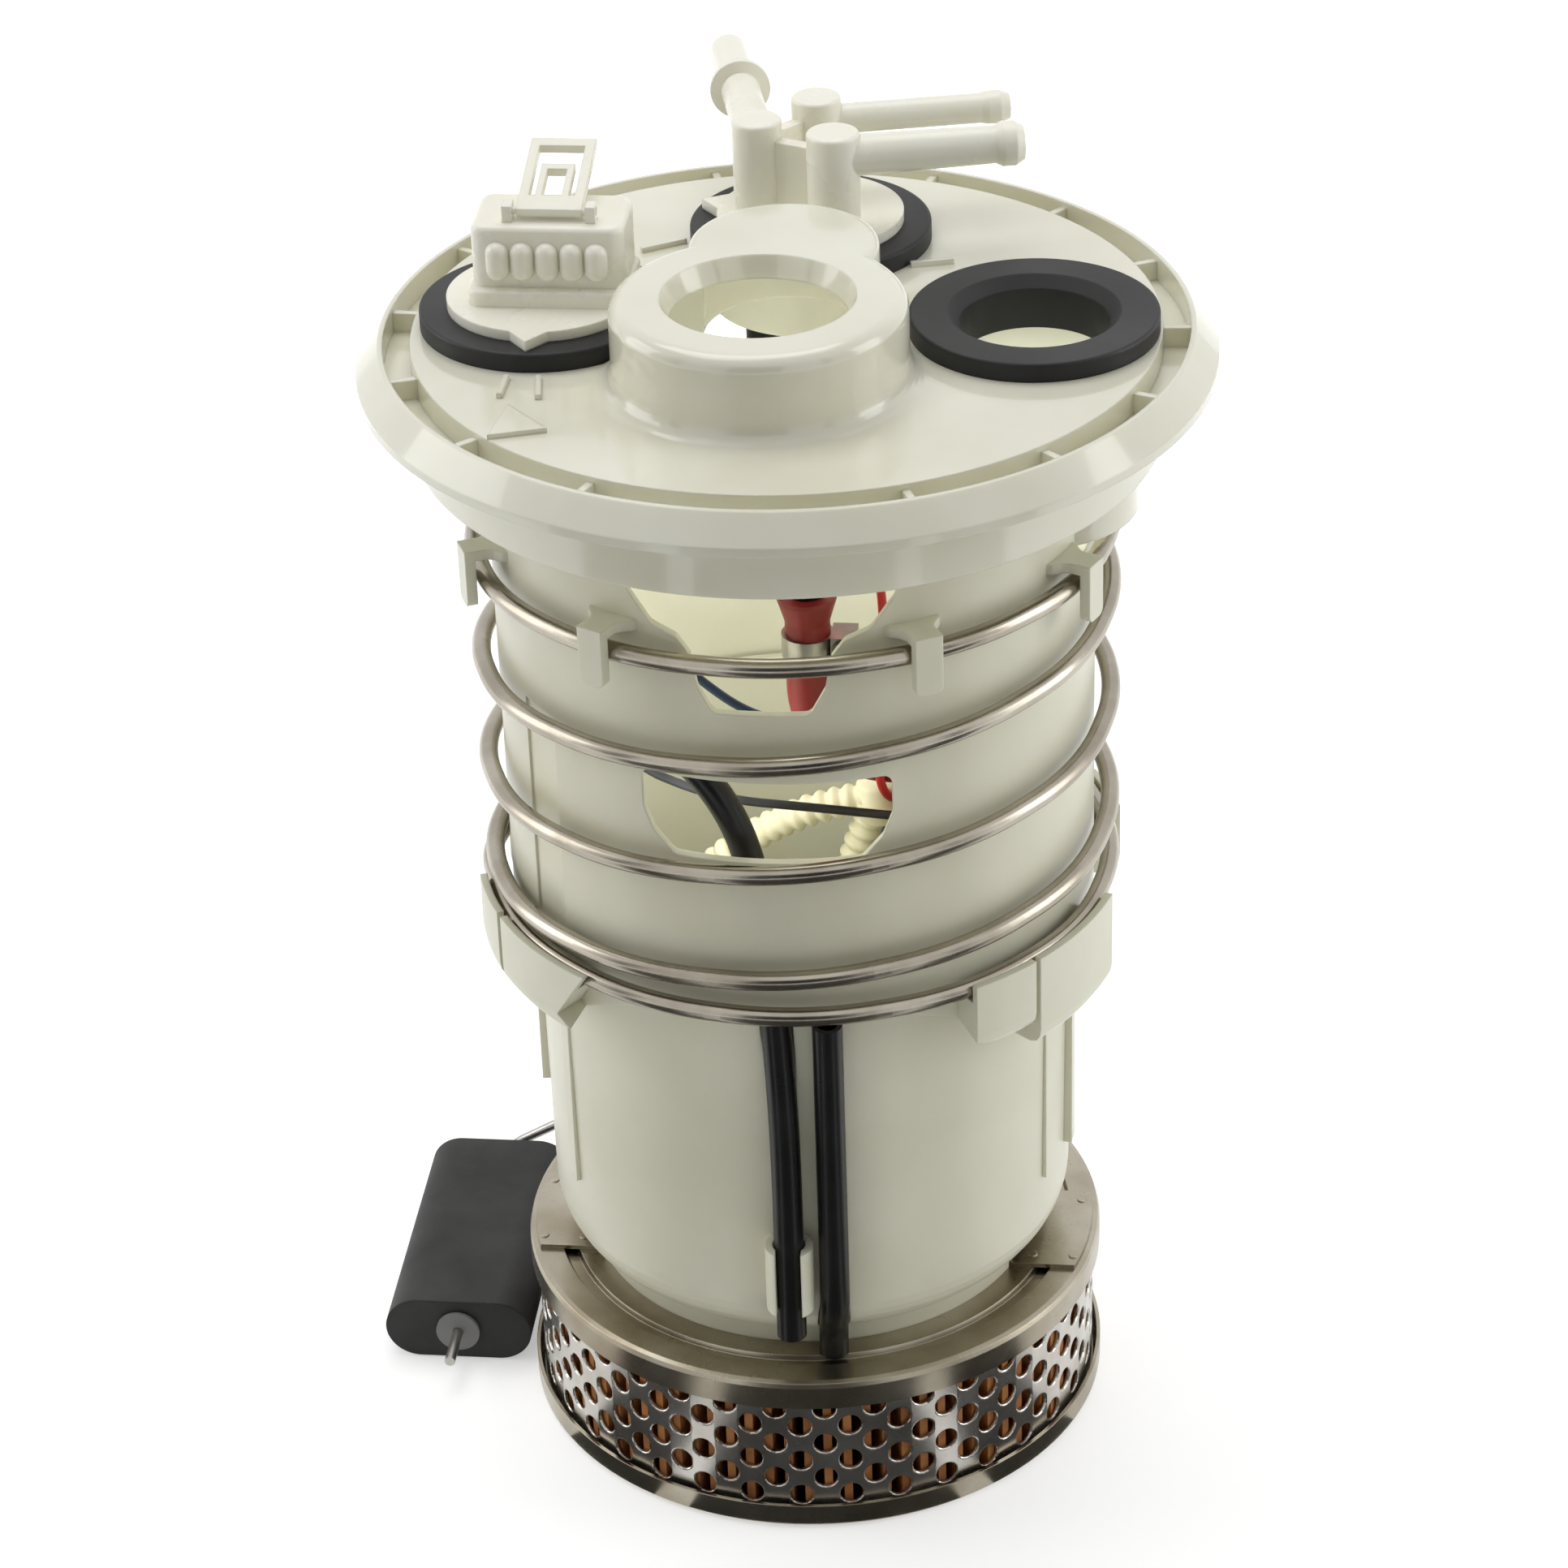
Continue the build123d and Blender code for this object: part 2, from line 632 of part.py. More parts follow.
def terminals():
    mid = (house_x0 + house_x1) / 2
    z = seal_top + 10
    blades = Part()
    for k in range(pins):
        x = mid + (k - (pins - 1) / 2) * pin_pitch
        blades += block(x - 0.8, x + 0.8, house_y1 - 12, house_y1 - 2.5, z - 0.4, z + 0.4)
    return blades


# ---- moulded pipe fitting ----
def pipe_run(x, y, z, angle, profile):
    solid = Part()
    for r0, r1, a, b in profile:
        shape = Cylinder(r0, b - a, align=BASE) if r0 == r1 else Cone(r0, r1, b - a, align=BASE)
        solid += Pos(a, 0, 0) * Rot(0, 90, 0) * shape
    return Pos(x, y, z) * Rot(0, 0, angle) * solid


def port_fitting():
    z = seal_top
    top = z + stub_h
    axis_z = top - pipe_drop
    body = rod(fit_plate_r, z, z + fit_plate_t, port_x, port_y) + pointer(port_x, port_y, 168)
    body += rod(grommet_bore - 0.1, z - 16, z, port_x, port_y)
    for (x, y), r in ((port_left, 5.2), (port_back, 5.2), (port_front, 5.5)):
        stub = rod(r, z, top, x, y)
        body += fillet(stub.edges().group_by(Axis.Z)[-1], 0.8)
        body += rod(nipple_r, nipple_z + 1, z, x, y)
    for a, b in ((port_left, port_back), (port_left, port_front)):
        body += web(a, b, z, top - 4)
    body += pipe_run(*port_back, axis_z, barb_turn, (
        (3.15, 3.15, 0, 34.5), (3.15, 3.5, 34.5, 36.0), (3.5, 3.5, 36.0, 38.5), (3.5, 2.7, 38.5, 40.6)))
    body += pipe_run(*port_front, axis_z, barb_turn, (
        (4.4, 3.9, 0, 33.5), (3.9, 4.65, 33.5, 35.0), (4.65, 4.65, 35.0, 37.6), (4.65, 3.6, 37.6, 39.4)))
    body += pipe_run(*port_left, axis_z, 90 + barb_turn, (
        (4.1, 4.1, 0, 28.5), (4.1, 6.4, 28.5, 29.2), (6.4, 6.4, 29.2, 30.8), (6.4, 4.0, 30.8, 31.6),
        (3.95, 3.95, 31.6, 51.0), (3.95, 3.2, 51.0, 53.0)))
    for (x, y), angle, length, bore in ((port_back, barb_turn, 40.6, 2.0), (port_front, barb_turn, 39.4, 2.6),
                                        (port_left, 90 + barb_turn, 53.0, 2.4)):
        body -= Pos(x, y, axis_z) * Rot(0, 0, angle) * Rot(0, 90, 0) * Cylinder(bore, length + 1, align=BASE)
        body -= rod(nipple_bore_r, nipple_z, axis_z, x, y)
    return body


def web(a, b, z0, z1):
    dx, dy = b[0] - a[0], b[1] - a[1]
    turn = degrees(atan2(dy, dx))
    plate = Box(hypot(dx, dy), 3.0, z1 - z0, align=(Align.MIN, Align.CENTER, Align.MIN))
    return Pos(a[0], a[1], z0) * Rot(0, 0, turn) * plate


# ---- steel coil ----
def coil_height(turned):
    knots = ((-200, coil_top_z), (90, coil_top_z), (180, 212.5), (270, 207.0), (360, 199.5), (450, 192.8), (540, 187.0),
             (720, 174.0), (810, 167.8), (900, 162.0), (1080, 148.3), (1170, 142.7), (1260, 138.5),
             (coil_lap, coil_low_z), (coil_end + 200, coil_low_z))
    for (a, za), (b, zb) in zip(knots, knots[1:]):
        if turned <= b:
            return za + (zb - za) * (turned - a) / (b - a)
    return coil_low_z


def coil_points():
    corner_r = coil_r / cos(radians(coil_step / 2))
    points = [polar(coil_r, -coil_start, coil_height(coil_start))]
    turned = coil_start + coil_step / 2
    while turned < coil_end:
        points.append(polar(corner_r, -turned, coil_height(turned)))
        turned += coil_step
    last = turned - coil_step / 2
    return points + [polar(coil_r, -last, coil_height(last))]


def coil_tube():
    return bent(coil_points(), coil_tube_r, coil_bore_r)


# ---- pump ----
def pump_case():
    return pipe(pump_r, pump_r - 1.5, pump_z0, pump_top, pump_x, pump_y)


def pump_end_cap():
    z = pump_top
    body = rod(pump_r - 1.6, z - 6, z, pump_x, pump_y) + rod(pump_r - 3, z, z + 5, pump_x, pump_y)
    body += rod(outlet_r, z + 5, z + 18, pump_x, pump_y)
    for dx, dy in ((-8, -8), (6, -9)):
        body += rod(2.2, z + 5, z + 7, pump_x + dx, pump_y + dy)
    body -= rod(1.7, z - 7, z + 19, pump_x, pump_y)
    body -= rod(shaft_r + 0.05, z - 6.01, z - 1, pump_x, pump_y)
    return body


def pump_inlet_cap():
    z = pump_z0
    body = rod(pump_r - 1.6, z, z + 7, pump_x, pump_y)
    body += rod(5.0, z - 5, z, pump_x, pump_y)
    body -= rod(shaft_r + 0.05, z + 2, z + 8, pump_x, pump_y)
    body -= rod(2.6, z - 6, z + 8, pump_x + 2.2, pump_y) & rod(4, z - 6, z + 8, pump_x, pump_y)
    return body


def pump_magnets():
    ring = pipe(pump_r - 1.55, rotor_r + 1.2, pump_z0 + 16, pump_top - 16, pump_x, pump_y)
    gap = block(pump_x - 30, pump_x + 30, pump_y - 3, pump_y + 3, 0, 300)
    return ring - gap


def armature():
    z0 = pump_z0 + 2.5
    body = rod(rotor_r, pump_z0 + 18, pump_top - 18, pump_x, pump_y)
    body += rod(shaft_r, z0, pump_top - 1.5, pump_x, pump_y)
    body += rod(6.5, pump_top - 16, pump_top - 9, pump_x, pump_y)
    for k in range(8):
        slot = Rot(0, 0, 45 * k) * Pos(rotor_r, 0, 0) * Box(5, 1.4, 200)
        body -= Pos(pump_x, pump_y, pump_z0 + 50) * slot
    return body


def impeller():
    z = pump_z0 + 8
    body = rod(pump_r - 3.0, z, z + 3, pump_x, pump_y) - rod(shaft_r, z - 1, z + 4, pump_x, pump_y)
    for k in range(24):
        notch = Rot(0, 0, 15 * k) * Pos(pump_r - 3.2, 0, 0) * Box(4, 1.6, 8)
        body -= Pos(pump_x, pump_y, z + 1.5) * notch
    return body


def pump_isolator():
    z = pump_z0
    ring = pipe(pump_r + isolator_t, pump_r + 0.05, z, z + 16, pump_x, pump_y)
    floor = pipe(pump_r + isolator_t, 6.0, z - 2.2, z, pump_x, pump_y)
    return ring + floor + pipe(11.0, 6.0, cup_floor, z - 2.2, pump_x, pump_y)


# ---- tee tube ----
tee = Vector(16.5, 0.0, 148.0)
jet_leg_z = 74.0
arm_route = [tee, Vector(5, 0, 145.5), Vector(-9, 0, 138.5), Vector(-22, 1, 127), Vector(-30, 3, 110), Vector(-31, 4, 92)]
leg_route = [tee + Vector(0, 0, -0.5), Vector(12.5, 0, 137), Vector(8, -1, 122), Vector(4, -3, 104), Vector(3, -3, jet_leg_z)]


def convoluted_tube():
    body = rod(4.9, tee.Z - 6.0, tee.Z + 4.0, tee.X, tee.Y)
    for points in (arm_route, leg_route):
        body += bent(points, conv_r)
    return biggest(body)


def jet_pump():
    seat = cup_z + neck_h + wall
    body = rod(6.5, cup_floor, 84, -31, 4) + rod(3.0, 84, 92, -31, 4)
    body += rod(5.5, seat, 66, 3, -3) + rod(3.0, 66, jet_leg_z, 3, -3)
    run_x = 34.0
    bridge = Rot(0, 0, degrees(atan2(-7, run_x))) * Rot(0, 90, 0) * Cylinder(3.5, run_x + 0.7)
    return body + Pos(-14, 0.5, seat + 6) * bridge


# ---- wires ----
wire_z = seal_top - 6.0
red_wire_route = [
    Vector(-46, 4, wire_z), Vector(-42, 8, exit_z - 9), Vector(-22, 12, exit_z - 10), Vector(2, 10, exit_z - 12),
    Vector(17, -4, exit_z - 12), Vector(20, -15, exit_z - 20), Vector(19, -16, 178), Vector(18, -14, 156),
    Vector(pump_x - 8, pump_y - 8, 147), Vector(pump_x - 8, pump_y - 8, pump_top + 7),
]
black_wire_route = [
    Vector(-51, 3, wire_z), Vector(-47, 1, 205), Vector(-45, -7, 184), Vector(-36, -14, 163), Vector(-16, -16, 155.5),
    Vector(6, -17, 154.5), Vector(26, -14, 151), Vector(pump_x + 6, pump_y - 9, 145),
    Vector(pump_x + 6, pump_y - 9, pump_top + 7),
]
blue_wire_route = [
    Vector(-50, -4, wire_z), Vector(-45, -9, 209), Vector(-33, -15, 203), Vector(-22, -16, 187), Vector(-9, -14, 175),
    Vector(2, -4, 167), Vector(9, 16, 158), Vector(15, 38, 158), Vector(*(polar(59.1, 75.0, 164.0))),
    polar(59.1, 75.0, 108.0),
]


def insulated(points):
    return bent(points, wire_ins_r)


# ---- level sender ----
def sender_body():
    y = sender_y
    plate = block(pivot_x - 15, pivot_x + 15, y, y + 3.0, 53, 108)
    plate = fillet(plate.edges().filter_by(Axis.Y), 2.5)
    plate -= block(pivot_x - 12, pivot_x + 12, y + 2.0, y + 4, pivot_z + 8, 104)
    pin = Pos(pivot_x, y + 2.9, pivot_z) * Rot(-90, 0, 0) * Cylinder(2.5, 5.4, align=BASE)
    return plate + pin


def resistor_card():
    y = sender_y + 2.0
    return block(pivot_x - 11.7, pivot_x + 11.7, y, y + 1.0, pivot_z + 8.3, 103.7)


def wiper_carrier():
    y = sender_y + 3.2
    hub = Pos(pivot_x, y, pivot_z) * Rot(-90, 0, 0) * Cylinder(6.8, 4.2, align=BASE)
    lever = block(pivot_x - 3, pivot_x + 3, y + 0.2, y + 1.4, pivot_z, pivot_z + 30)
    body = hub + lever
    body -= Pos(pivot_x, y - 1, pivot_z) * Rot(-90, 0, 0) * Cylinder(2.55, 7.0, align=BASE)
    body -= block(pivot_x - 3.2, pivot_x + 3.2, y - 0.1, y + 0.35, pivot_z + 7.4, pivot_z + 31)
    length = hypot(pivot_x - float_x, pivot_z - float_z)
    bore = Pos(pivot_x, arm_y, pivot_z) * Rot(0, -90 - arm_tilt(), 0) * Pos(0, 0, arm_start)
    body -= bore * Cylinder(wire_r + 0.02, length / 2, align=BASE)
    return body


def arm_tilt():
    return degrees(atan2(pivot_z - float_z, pivot_x - float_x))


def float_arm():
    start = polar(arm_start, arm_tilt())
    points = [Vector(pivot_x - start.X, arm_y, pivot_z - start.Y), Vector(float_x, arm_y, float_z),
              Vector(float_x, float_y0 - 12, float_z)]
    path = FilletPolyline(*points, radius=5.0)
    wire = sweep(Plane(origin=path @ 0, z_dir=path % 0) * Circle(wire_r), path=path)
    return wire


def float_body():
    shape = SlotOverall(float_w, float_t)
    body = extrude(Plane.XZ * shape, -(float_y1 - float_y0))
    body = Pos(float_x, float_y0, float_z) * body
    return body - Pos(float_x, float_y0 - 1, float_z) * Rot(-90, 0, 0) * Cylinder(wire_r + 0.1, 80, align=BASE)


def retainer():
    y = float_y0 - 1.1
    disc = Pos(float_x, y, float_z) * Rot(-90, 0, 0) * Cylinder(5.0, 0.9, align=BASE)
    return disc - Pos(float_x, y - 1, float_z) * Rot(-90, 0, 0) * Cylinder(wire_r + 0.05, 3, align=BASE)


nodes = {
    "filter_bottom_pan": bottom_pan,
    "filter_top_plate": top_plate,
    "filter_screen": screen,
    "filter_pleats": pleats,
    "filter_core": core,
    "bracket_right": lambda: bracket(1),
    "bracket_left": lambda: bracket(-1),
    "reservoir_cup": cup,
    "neck_seal": neck_seal,
    "vent_hose": vent_hose,
    "standpipe_hose": standpipe_hose,
    "feed_tube": feed_tube,
    "red_hose": red_hose,
    "hose_clamp": hose_clamp,
    "clamp_screw": clamp_screw,
    "canister": canister,
    "flange_cover": flange,
    "spare_grommet": lambda: grommet(spare_x, spare_y),
    "connector_grommet": lambda: grommet(plug_x, plug_y),
    "port_grommet": lambda: grommet(port_x, port_y),
    "connector_housing": housing,
    "connector_latch": latch,
    "connector_terminals": terminals,
    "port_fitting": port_fitting,
    "coil_tube": coil_tube,
    "pump_case": pump_case,
    "pump_end_cap": pump_end_cap,
    "pump_inlet_cap": pump_inlet_cap,
    "pump_magnets": pump_magnets,
    "pump_isolator": pump_isolator,
    "armature": armature,
    "impeller": impeller,
    "convoluted_tube": convoluted_tube,
    "jet_pump": jet_pump,
    "red_wire": lambda: insulated(red_wire_route),
    "black_wire": lambda: insulated(black_wire_route),
    "blue_wire": lambda: insulated(blue_wire_route),
    "sender_body": sender_body,
    "resistor_card": resistor_card,
    "wiper_carrier": wiper_carrier,
    "float_arm": float_arm,
    "float": float_body,
    "float_retainer": retainer,
}

for name, build in nodes.items():
    export_step(build(), f"parts/{name}.step")
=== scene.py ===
import json
import math

import bmesh
import bpy
from mathutils import Matrix, Vector

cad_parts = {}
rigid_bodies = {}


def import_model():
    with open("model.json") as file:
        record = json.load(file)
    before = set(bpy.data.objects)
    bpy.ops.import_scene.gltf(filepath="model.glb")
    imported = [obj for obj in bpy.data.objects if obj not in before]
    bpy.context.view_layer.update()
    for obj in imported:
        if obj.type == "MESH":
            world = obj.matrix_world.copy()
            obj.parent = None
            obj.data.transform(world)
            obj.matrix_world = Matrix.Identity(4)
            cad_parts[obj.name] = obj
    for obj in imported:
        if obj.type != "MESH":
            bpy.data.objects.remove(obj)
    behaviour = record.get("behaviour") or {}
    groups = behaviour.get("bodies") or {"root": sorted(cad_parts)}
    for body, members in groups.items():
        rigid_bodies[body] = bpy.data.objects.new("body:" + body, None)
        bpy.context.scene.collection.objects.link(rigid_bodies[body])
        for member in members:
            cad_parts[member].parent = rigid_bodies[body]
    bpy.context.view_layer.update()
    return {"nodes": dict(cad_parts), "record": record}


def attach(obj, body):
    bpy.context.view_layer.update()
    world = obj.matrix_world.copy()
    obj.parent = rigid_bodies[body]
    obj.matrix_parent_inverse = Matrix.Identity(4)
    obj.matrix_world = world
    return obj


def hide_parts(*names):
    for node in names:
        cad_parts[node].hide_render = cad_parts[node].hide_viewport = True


for leftover in list(bpy.data.objects):
    bpy.data.objects.remove(leftover)
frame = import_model()
nodes = frame["nodes"]
print("frame loaded", len(nodes), "nodes")

# places and lengths are in metres
shot = {
    "eye": (0.102594, -0.856457, 0.662),
    "yaw": -7.07, "pitch": 30.68, "roll": -1.96,   # degrees
    "lens": 108.15, "sensor": 36.0,
    "lampAim": (0, 0, 0.15),
    "fill": 0.48,                 # world light on the surfaces
    "floorHalf": 3.0, "floorTone": (0.93, 0.935, 0.94),
    "floorGlow": (0.35, 1.3, 0.42, 0.85),   # from and to this far out, in metres, and its strength there
}
# dark cards on the floor, seen only in what reflects them; angles in degrees from the front
floorCards = {
    "front": 7.0, "step": 4.0, "reach": (0.0648, 0.75), "lift": 0.0004, "tone": 0.10,
    "spans": {"middleCard": (-28.0, 28.0), "leftCard": (-62.0, -36.0), "rightCard": (36.0, 62.0)},
}
# light that the translucent mouldings let through: place, radius, watts
glowTint = (0.93, 0.96, 1.0)
glows = {
    "canisterGlow": ((0.0, 0.0, 0.205), 0.02, 0.09),
    "lowerGlow": ((-0.022, -0.022, 0.163), 0.015, 0.055),
    "socketGlow": ((0.05, 0.0, 0.232), 0.008, 0.01),
}
softboxes = {      # place, width and height, watts
    "topSoftbox": ((-0.15, 0.3, 1.25), (1.0, 0.7), 5.0),
    "leftSoftbox": ((-1.15, 0.05, 0.5), (0.6, 0.9), 3.6),
    "rightSoftbox": ((1.15, 0.05, 0.45), (0.5, 0.9), 4.0),
}
flagTone = 0.02
flags = {          # dark panels before the object: place, width and height, turn in degrees
    "frontFlag": ((0.15, -1.9, 0.75), (1.5, 1.5), 0.0),
    "leftFlag": ((-1.75, -1.1, 0.8), (0.7, 1.6), 58.0),
    "rightFlag": ((1.75, -1.2, 0.8), (0.6, 1.6), -56.0),
}


def cameraAxes():
    yaw, pitch, roll = (math.radians(shot[k]) for k in ("yaw", "pitch", "roll"))
    forward = Vector((math.sin(yaw) * math.cos(pitch), math.cos(yaw) * math.cos(pitch), -math.sin(pitch)))
    flatRight = Vector((math.cos(yaw), -math.sin(yaw), 0))
    flatUp = flatRight.cross(forward)
    right = math.cos(roll) * flatRight + math.sin(roll) * flatUp
    up = -math.sin(roll) * flatRight + math.cos(roll) * flatUp
    return right, up, -forward


def makeCamera():
    data = bpy.data.cameras.new("studioCamera")
    data.lens = shot["lens"]
    data.sensor_width = shot["sensor"]
    data.sensor_fit = "HORIZONTAL"
    data.clip_start = 0.01
    camera = bpy.data.objects.new("studioCamera", data)
    bpy.context.scene.collection.objects.link(camera)
    turn = Matrix(cameraAxes()).transposed().to_4x4()
    camera.matrix_world = Matrix.Translation(shot["eye"]) @ turn
    bpy.context.scene.camera = camera


def areaLamp(name, place, size, power):
    data = bpy.data.lights.new(name, "AREA")
    data.shape = "RECTANGLE"
    data.size, data.size_y = size
    data.energy = power
    lamp = bpy.data.objects.new(name, data)
    bpy.context.scene.collection.objects.link(lamp)
    aim = Vector(shot["lampAim"]) - Vector(place)
    lamp.matrix_world = Matrix.Translation(place) @ aim.to_track_quat("-Z", "Y").to_matrix().to_4x4()


def glowLamp(name, place, radius, power):
    data = bpy.data.lights.new(name, "POINT")
    data.shadow_soft_size = radius
    data.energy = power
    data.color = glowTint
    lamp = bpy.data.objects.new(name, data)
    bpy.context.scene.collection.objects.link(lamp)
    lamp.location = place
    lamp.visible_glossy = False


def maths(tree, kind, a, b):
    node = tree.nodes.new("ShaderNodeMath")
    node.operation = kind
    tree.links.new(a, node.inputs[0])
    tree.links.new(b, node.inputs[1])
    return node.outputs["Value"]


def seenDirectly(tree):
    path = tree.nodes.new("ShaderNodeLightPath")
    seen = path.outputs["Is Camera Ray"]
    for label in ("Is Glossy Ray", "Is Transmission Ray"):
        seen = maths(tree, "MAXIMUM", seen, path.outputs[label])
    return seen


def makeWorld():
    world = bpy.data.worlds.new("studioWorld")
    bpy.context.scene.world = world
    world.use_nodes = True
    tree = world.node_tree
    back = tree.nodes["Background"]
    back.inputs["Color"].default_value = (1.0, 1.0, 1.0, 1.0)
    level = tree.nodes.new("ShaderNodeMapRange")
    level.inputs["To Min"].default_value = shot["fill"]
    level.inputs["To Max"].default_value = 1.0
    tree.links.new(seenDirectly(tree), level.inputs["Value"])
    tree.links.new(level.outputs["Result"], back.inputs["Strength"])


def makeStage():
    mesh = bpy.data.meshes.new("studioFloor")
    half = shot["floorHalf"]
    corners = [(-half, -half, 0), (half, -half, 0), (half, half, 0), (-half, half, 0)]
    mesh.from_pydata(corners, [], [(0, 1, 2, 3)])
    floor = bpy.data.objects.new("studioFloor", mesh)
    bpy.context.scene.collection.objects.link(floor)
    material = bpy.data.materials.new("paleFloor")
    material.use_nodes = True
    tree = material.node_tree
    shader = tree.nodes["Principled BSDF"]
    shader.inputs["Base Color"].default_value = (*shot["floorTone"], 1.0)
    shader.inputs["Roughness"].default_value = 0.6
    shader.inputs["Specular IOR Level"].default_value = 0.0
    glow = tree.nodes.new("ShaderNodeEmission")
    glow.inputs["Color"].default_value = (1.0, 1.0, 1.0, 1.0)
    coords = tree.nodes.new("ShaderNodeTexCoord")
    reach = tree.nodes.new("ShaderNodeVectorMath")
    reach.operation = "LENGTH"
    tree.links.new(coords.outputs["Object"], reach.inputs[0])
    fade = tree.nodes.new("ShaderNodeMapRange")   # the floor runs into the white backdrop
    tree.links.new(reach.outputs["Value"], fade.inputs["Value"])
    for label, value in zip(("From Min", "From Max", "To Min", "To Max"), shot["floorGlow"]):
        fade.inputs[label].default_value = value
    lift = maths(tree, "MULTIPLY", seenDirectly(tree), fade.outputs["Result"])
    tree.links.new(lift, glow.inputs["Strength"])
    add = tree.nodes.new("ShaderNodeAddShader")
    tree.links.new(shader.outputs["BSDF"], add.inputs[0])
    tree.links.new(glow.outputs["Emission"], add.inputs[1])
    tree.links.new(add.outputs["Shader"], tree.nodes["Material Output"].inputs["Surface"])
    mesh.materials.append(material)


def cardCloth(name, tone):
    material = bpy.data.materials.new(name)
    material.use_nodes = True
    shader = material.node_tree.nodes["Principled BSDF"]
    shader.inputs["Base Color"].default_value = (tone, tone, tone, 1.0)
    shader.inputs["Roughness"].default_value = 0.9
    shader.inputs["Specular IOR Level"].default_value = 0.0
    return material


def placeCard(name, verts, faces, cloth):
    mesh = bpy.data.meshes.new(name)
    mesh.from_pydata(verts, [], faces)
    mesh.materials.append(cloth)
    card = bpy.data.objects.new(name, mesh)
    bpy.context.scene.collection.objects.link(card)
    card.visible_camera = False
    card.visible_shadow = False
    card.visible_transmission = False
    return card


def makeFlags(cloth):
    for name, (place, size, turn) in flags.items():
        w, h = size[0] / 2, size[1] / 2
        flag = placeCard(name, [(-w, 0, -h), (w, 0, -h), (w, 0, h), (-w, 0, h)], [(3, 2, 1, 0)], cloth)
        flag.matrix_world = Matrix.Translation(place) @ Matrix.Rotation(math.radians(turn), 4, "Z")


def makeFloorCards(cloth):
    for name, (start, end) in floorCards["spans"].items():
        steps = round((end - start) / floorCards["step"])
        verts = []
        for k in range(steps + 1):
            turn = math.radians(floorCards["front"] + start + (end - start) * k / steps)
            for reach in floorCards["reach"]:
                verts.append((reach * math.sin(turn), -reach * math.cos(turn), floorCards["lift"]))
        faces = [(2 * k, 2 * k + 1, 2 * k + 3, 2 * k + 2) for k in range(steps)]
        card = placeCard(name, verts, faces, cloth)
        card.visible_diffuse = False


makeCamera()
makeWorld()
for lampName, (place, lampSize, power) in softboxes.items():
    areaLamp(lampName, place, lampSize, power)
for glowName, (place, radius, power) in glows.items():
    glowLamp(glowName, place, radius, power)
makeStage()
makeFlags(cardCloth("flagCloth", flagTone))
makeFloorCards(cardCloth("floorCloth", floorCards["tone"]))
bpy.context.scene.view_settings.view_transform = "Standard"
print("camera, lamps and stage ready")


# what every finish shares; scales are in features per metre
skinLook = {
    "speckScale": 900.0, "speckBand": (0.60, 0.80), "driftBand": (0.35, 0.68),
    "smearScale": 45.0, "smearBand": (0.3, 0.7),
    "scatterRadius": (1.0, 0.9, 0.7), "scatterScale": 0.002, "edgeSamples": 4,
}


def newGroup(name, inputs, outputs):
    group = bpy.data.node_groups.new(name, "ShaderNodeTree")
    for label, kind, value in inputs:
        socket = group.interface.new_socket(name=label, in_out="INPUT", socket_type=kind)
        if value is not None:
            socket.default_value = value
    for label, kind in outputs:
        group.interface.new_socket(name=label, in_out="OUTPUT", socket_type=kind)
    return group, group.nodes.new("NodeGroupInput"), group.nodes.new("NodeGroupOutput")


def noiseIn(tree, vector, scale, detail=3.0):
    noise = tree.nodes.new("ShaderNodeTexNoise")
    noise.inputs["Detail"].default_value = detail
    noise.inputs["Roughness"].default_value = 0.55
    tree.links.new(vector, noise.inputs["Vector"])
    if isinstance(scale, (int, float)):
        noise.inputs["Scale"].default_value = scale
    else:
        tree.links.new(scale, noise.inputs["Scale"])
    return noise.outputs["Fac"]


def rangeOf(tree, value, low, high):
    node = tree.nodes.new("ShaderNodeMapRange")
    node.inputs["From Min"].default_value = low
    node.inputs["From Max"].default_value = high
    tree.links.new(value, node.inputs["Value"])
    return node.outputs["Result"]


def mixColour(tree, factor, a, b):
    node = tree.nodes.new("ShaderNodeMix")
    node.data_type = "RGBA"
    tree.links.new(factor, node.inputs[0])
    tree.links.new(a, node.inputs[6])
    tree.links.new(b, node.inputs[7])
    return node.outputs[2]


def makeToneGroup():
    group, ins, outs = newGroup(
        "toneDrift",
        (("Vector", "NodeSocketVector", None), ("Light Tone", "NodeSocketColor", (1, 1, 1, 1)),
         ("Deep Tone", "NodeSocketColor", (0.8, 0.8, 0.8, 1)), ("Patch Scale", "NodeSocketFloat", 30.0),
         ("Speck", "NodeSocketFloat", 0.2)),
        (("Color", "NodeSocketColor"),))
    broad = noiseIn(group, ins.outputs["Vector"], ins.outputs["Patch Scale"])
    drift = rangeOf(group, broad, *skinLook["driftBand"])
    base = mixColour(group, drift, ins.outputs["Light Tone"], ins.outputs["Deep Tone"])
    fine = noiseIn(group, ins.outputs["Vector"], skinLook["speckScale"], 2.0)
    specks = rangeOf(group, fine, *skinLook["speckBand"])
    amount = maths(group, "MULTIPLY", specks, ins.outputs["Speck"])
    dirty = mixColour(group, amount, base, ins.outputs["Deep Tone"])
    group.links.new(dirty, outs.inputs["Color"])
    return group


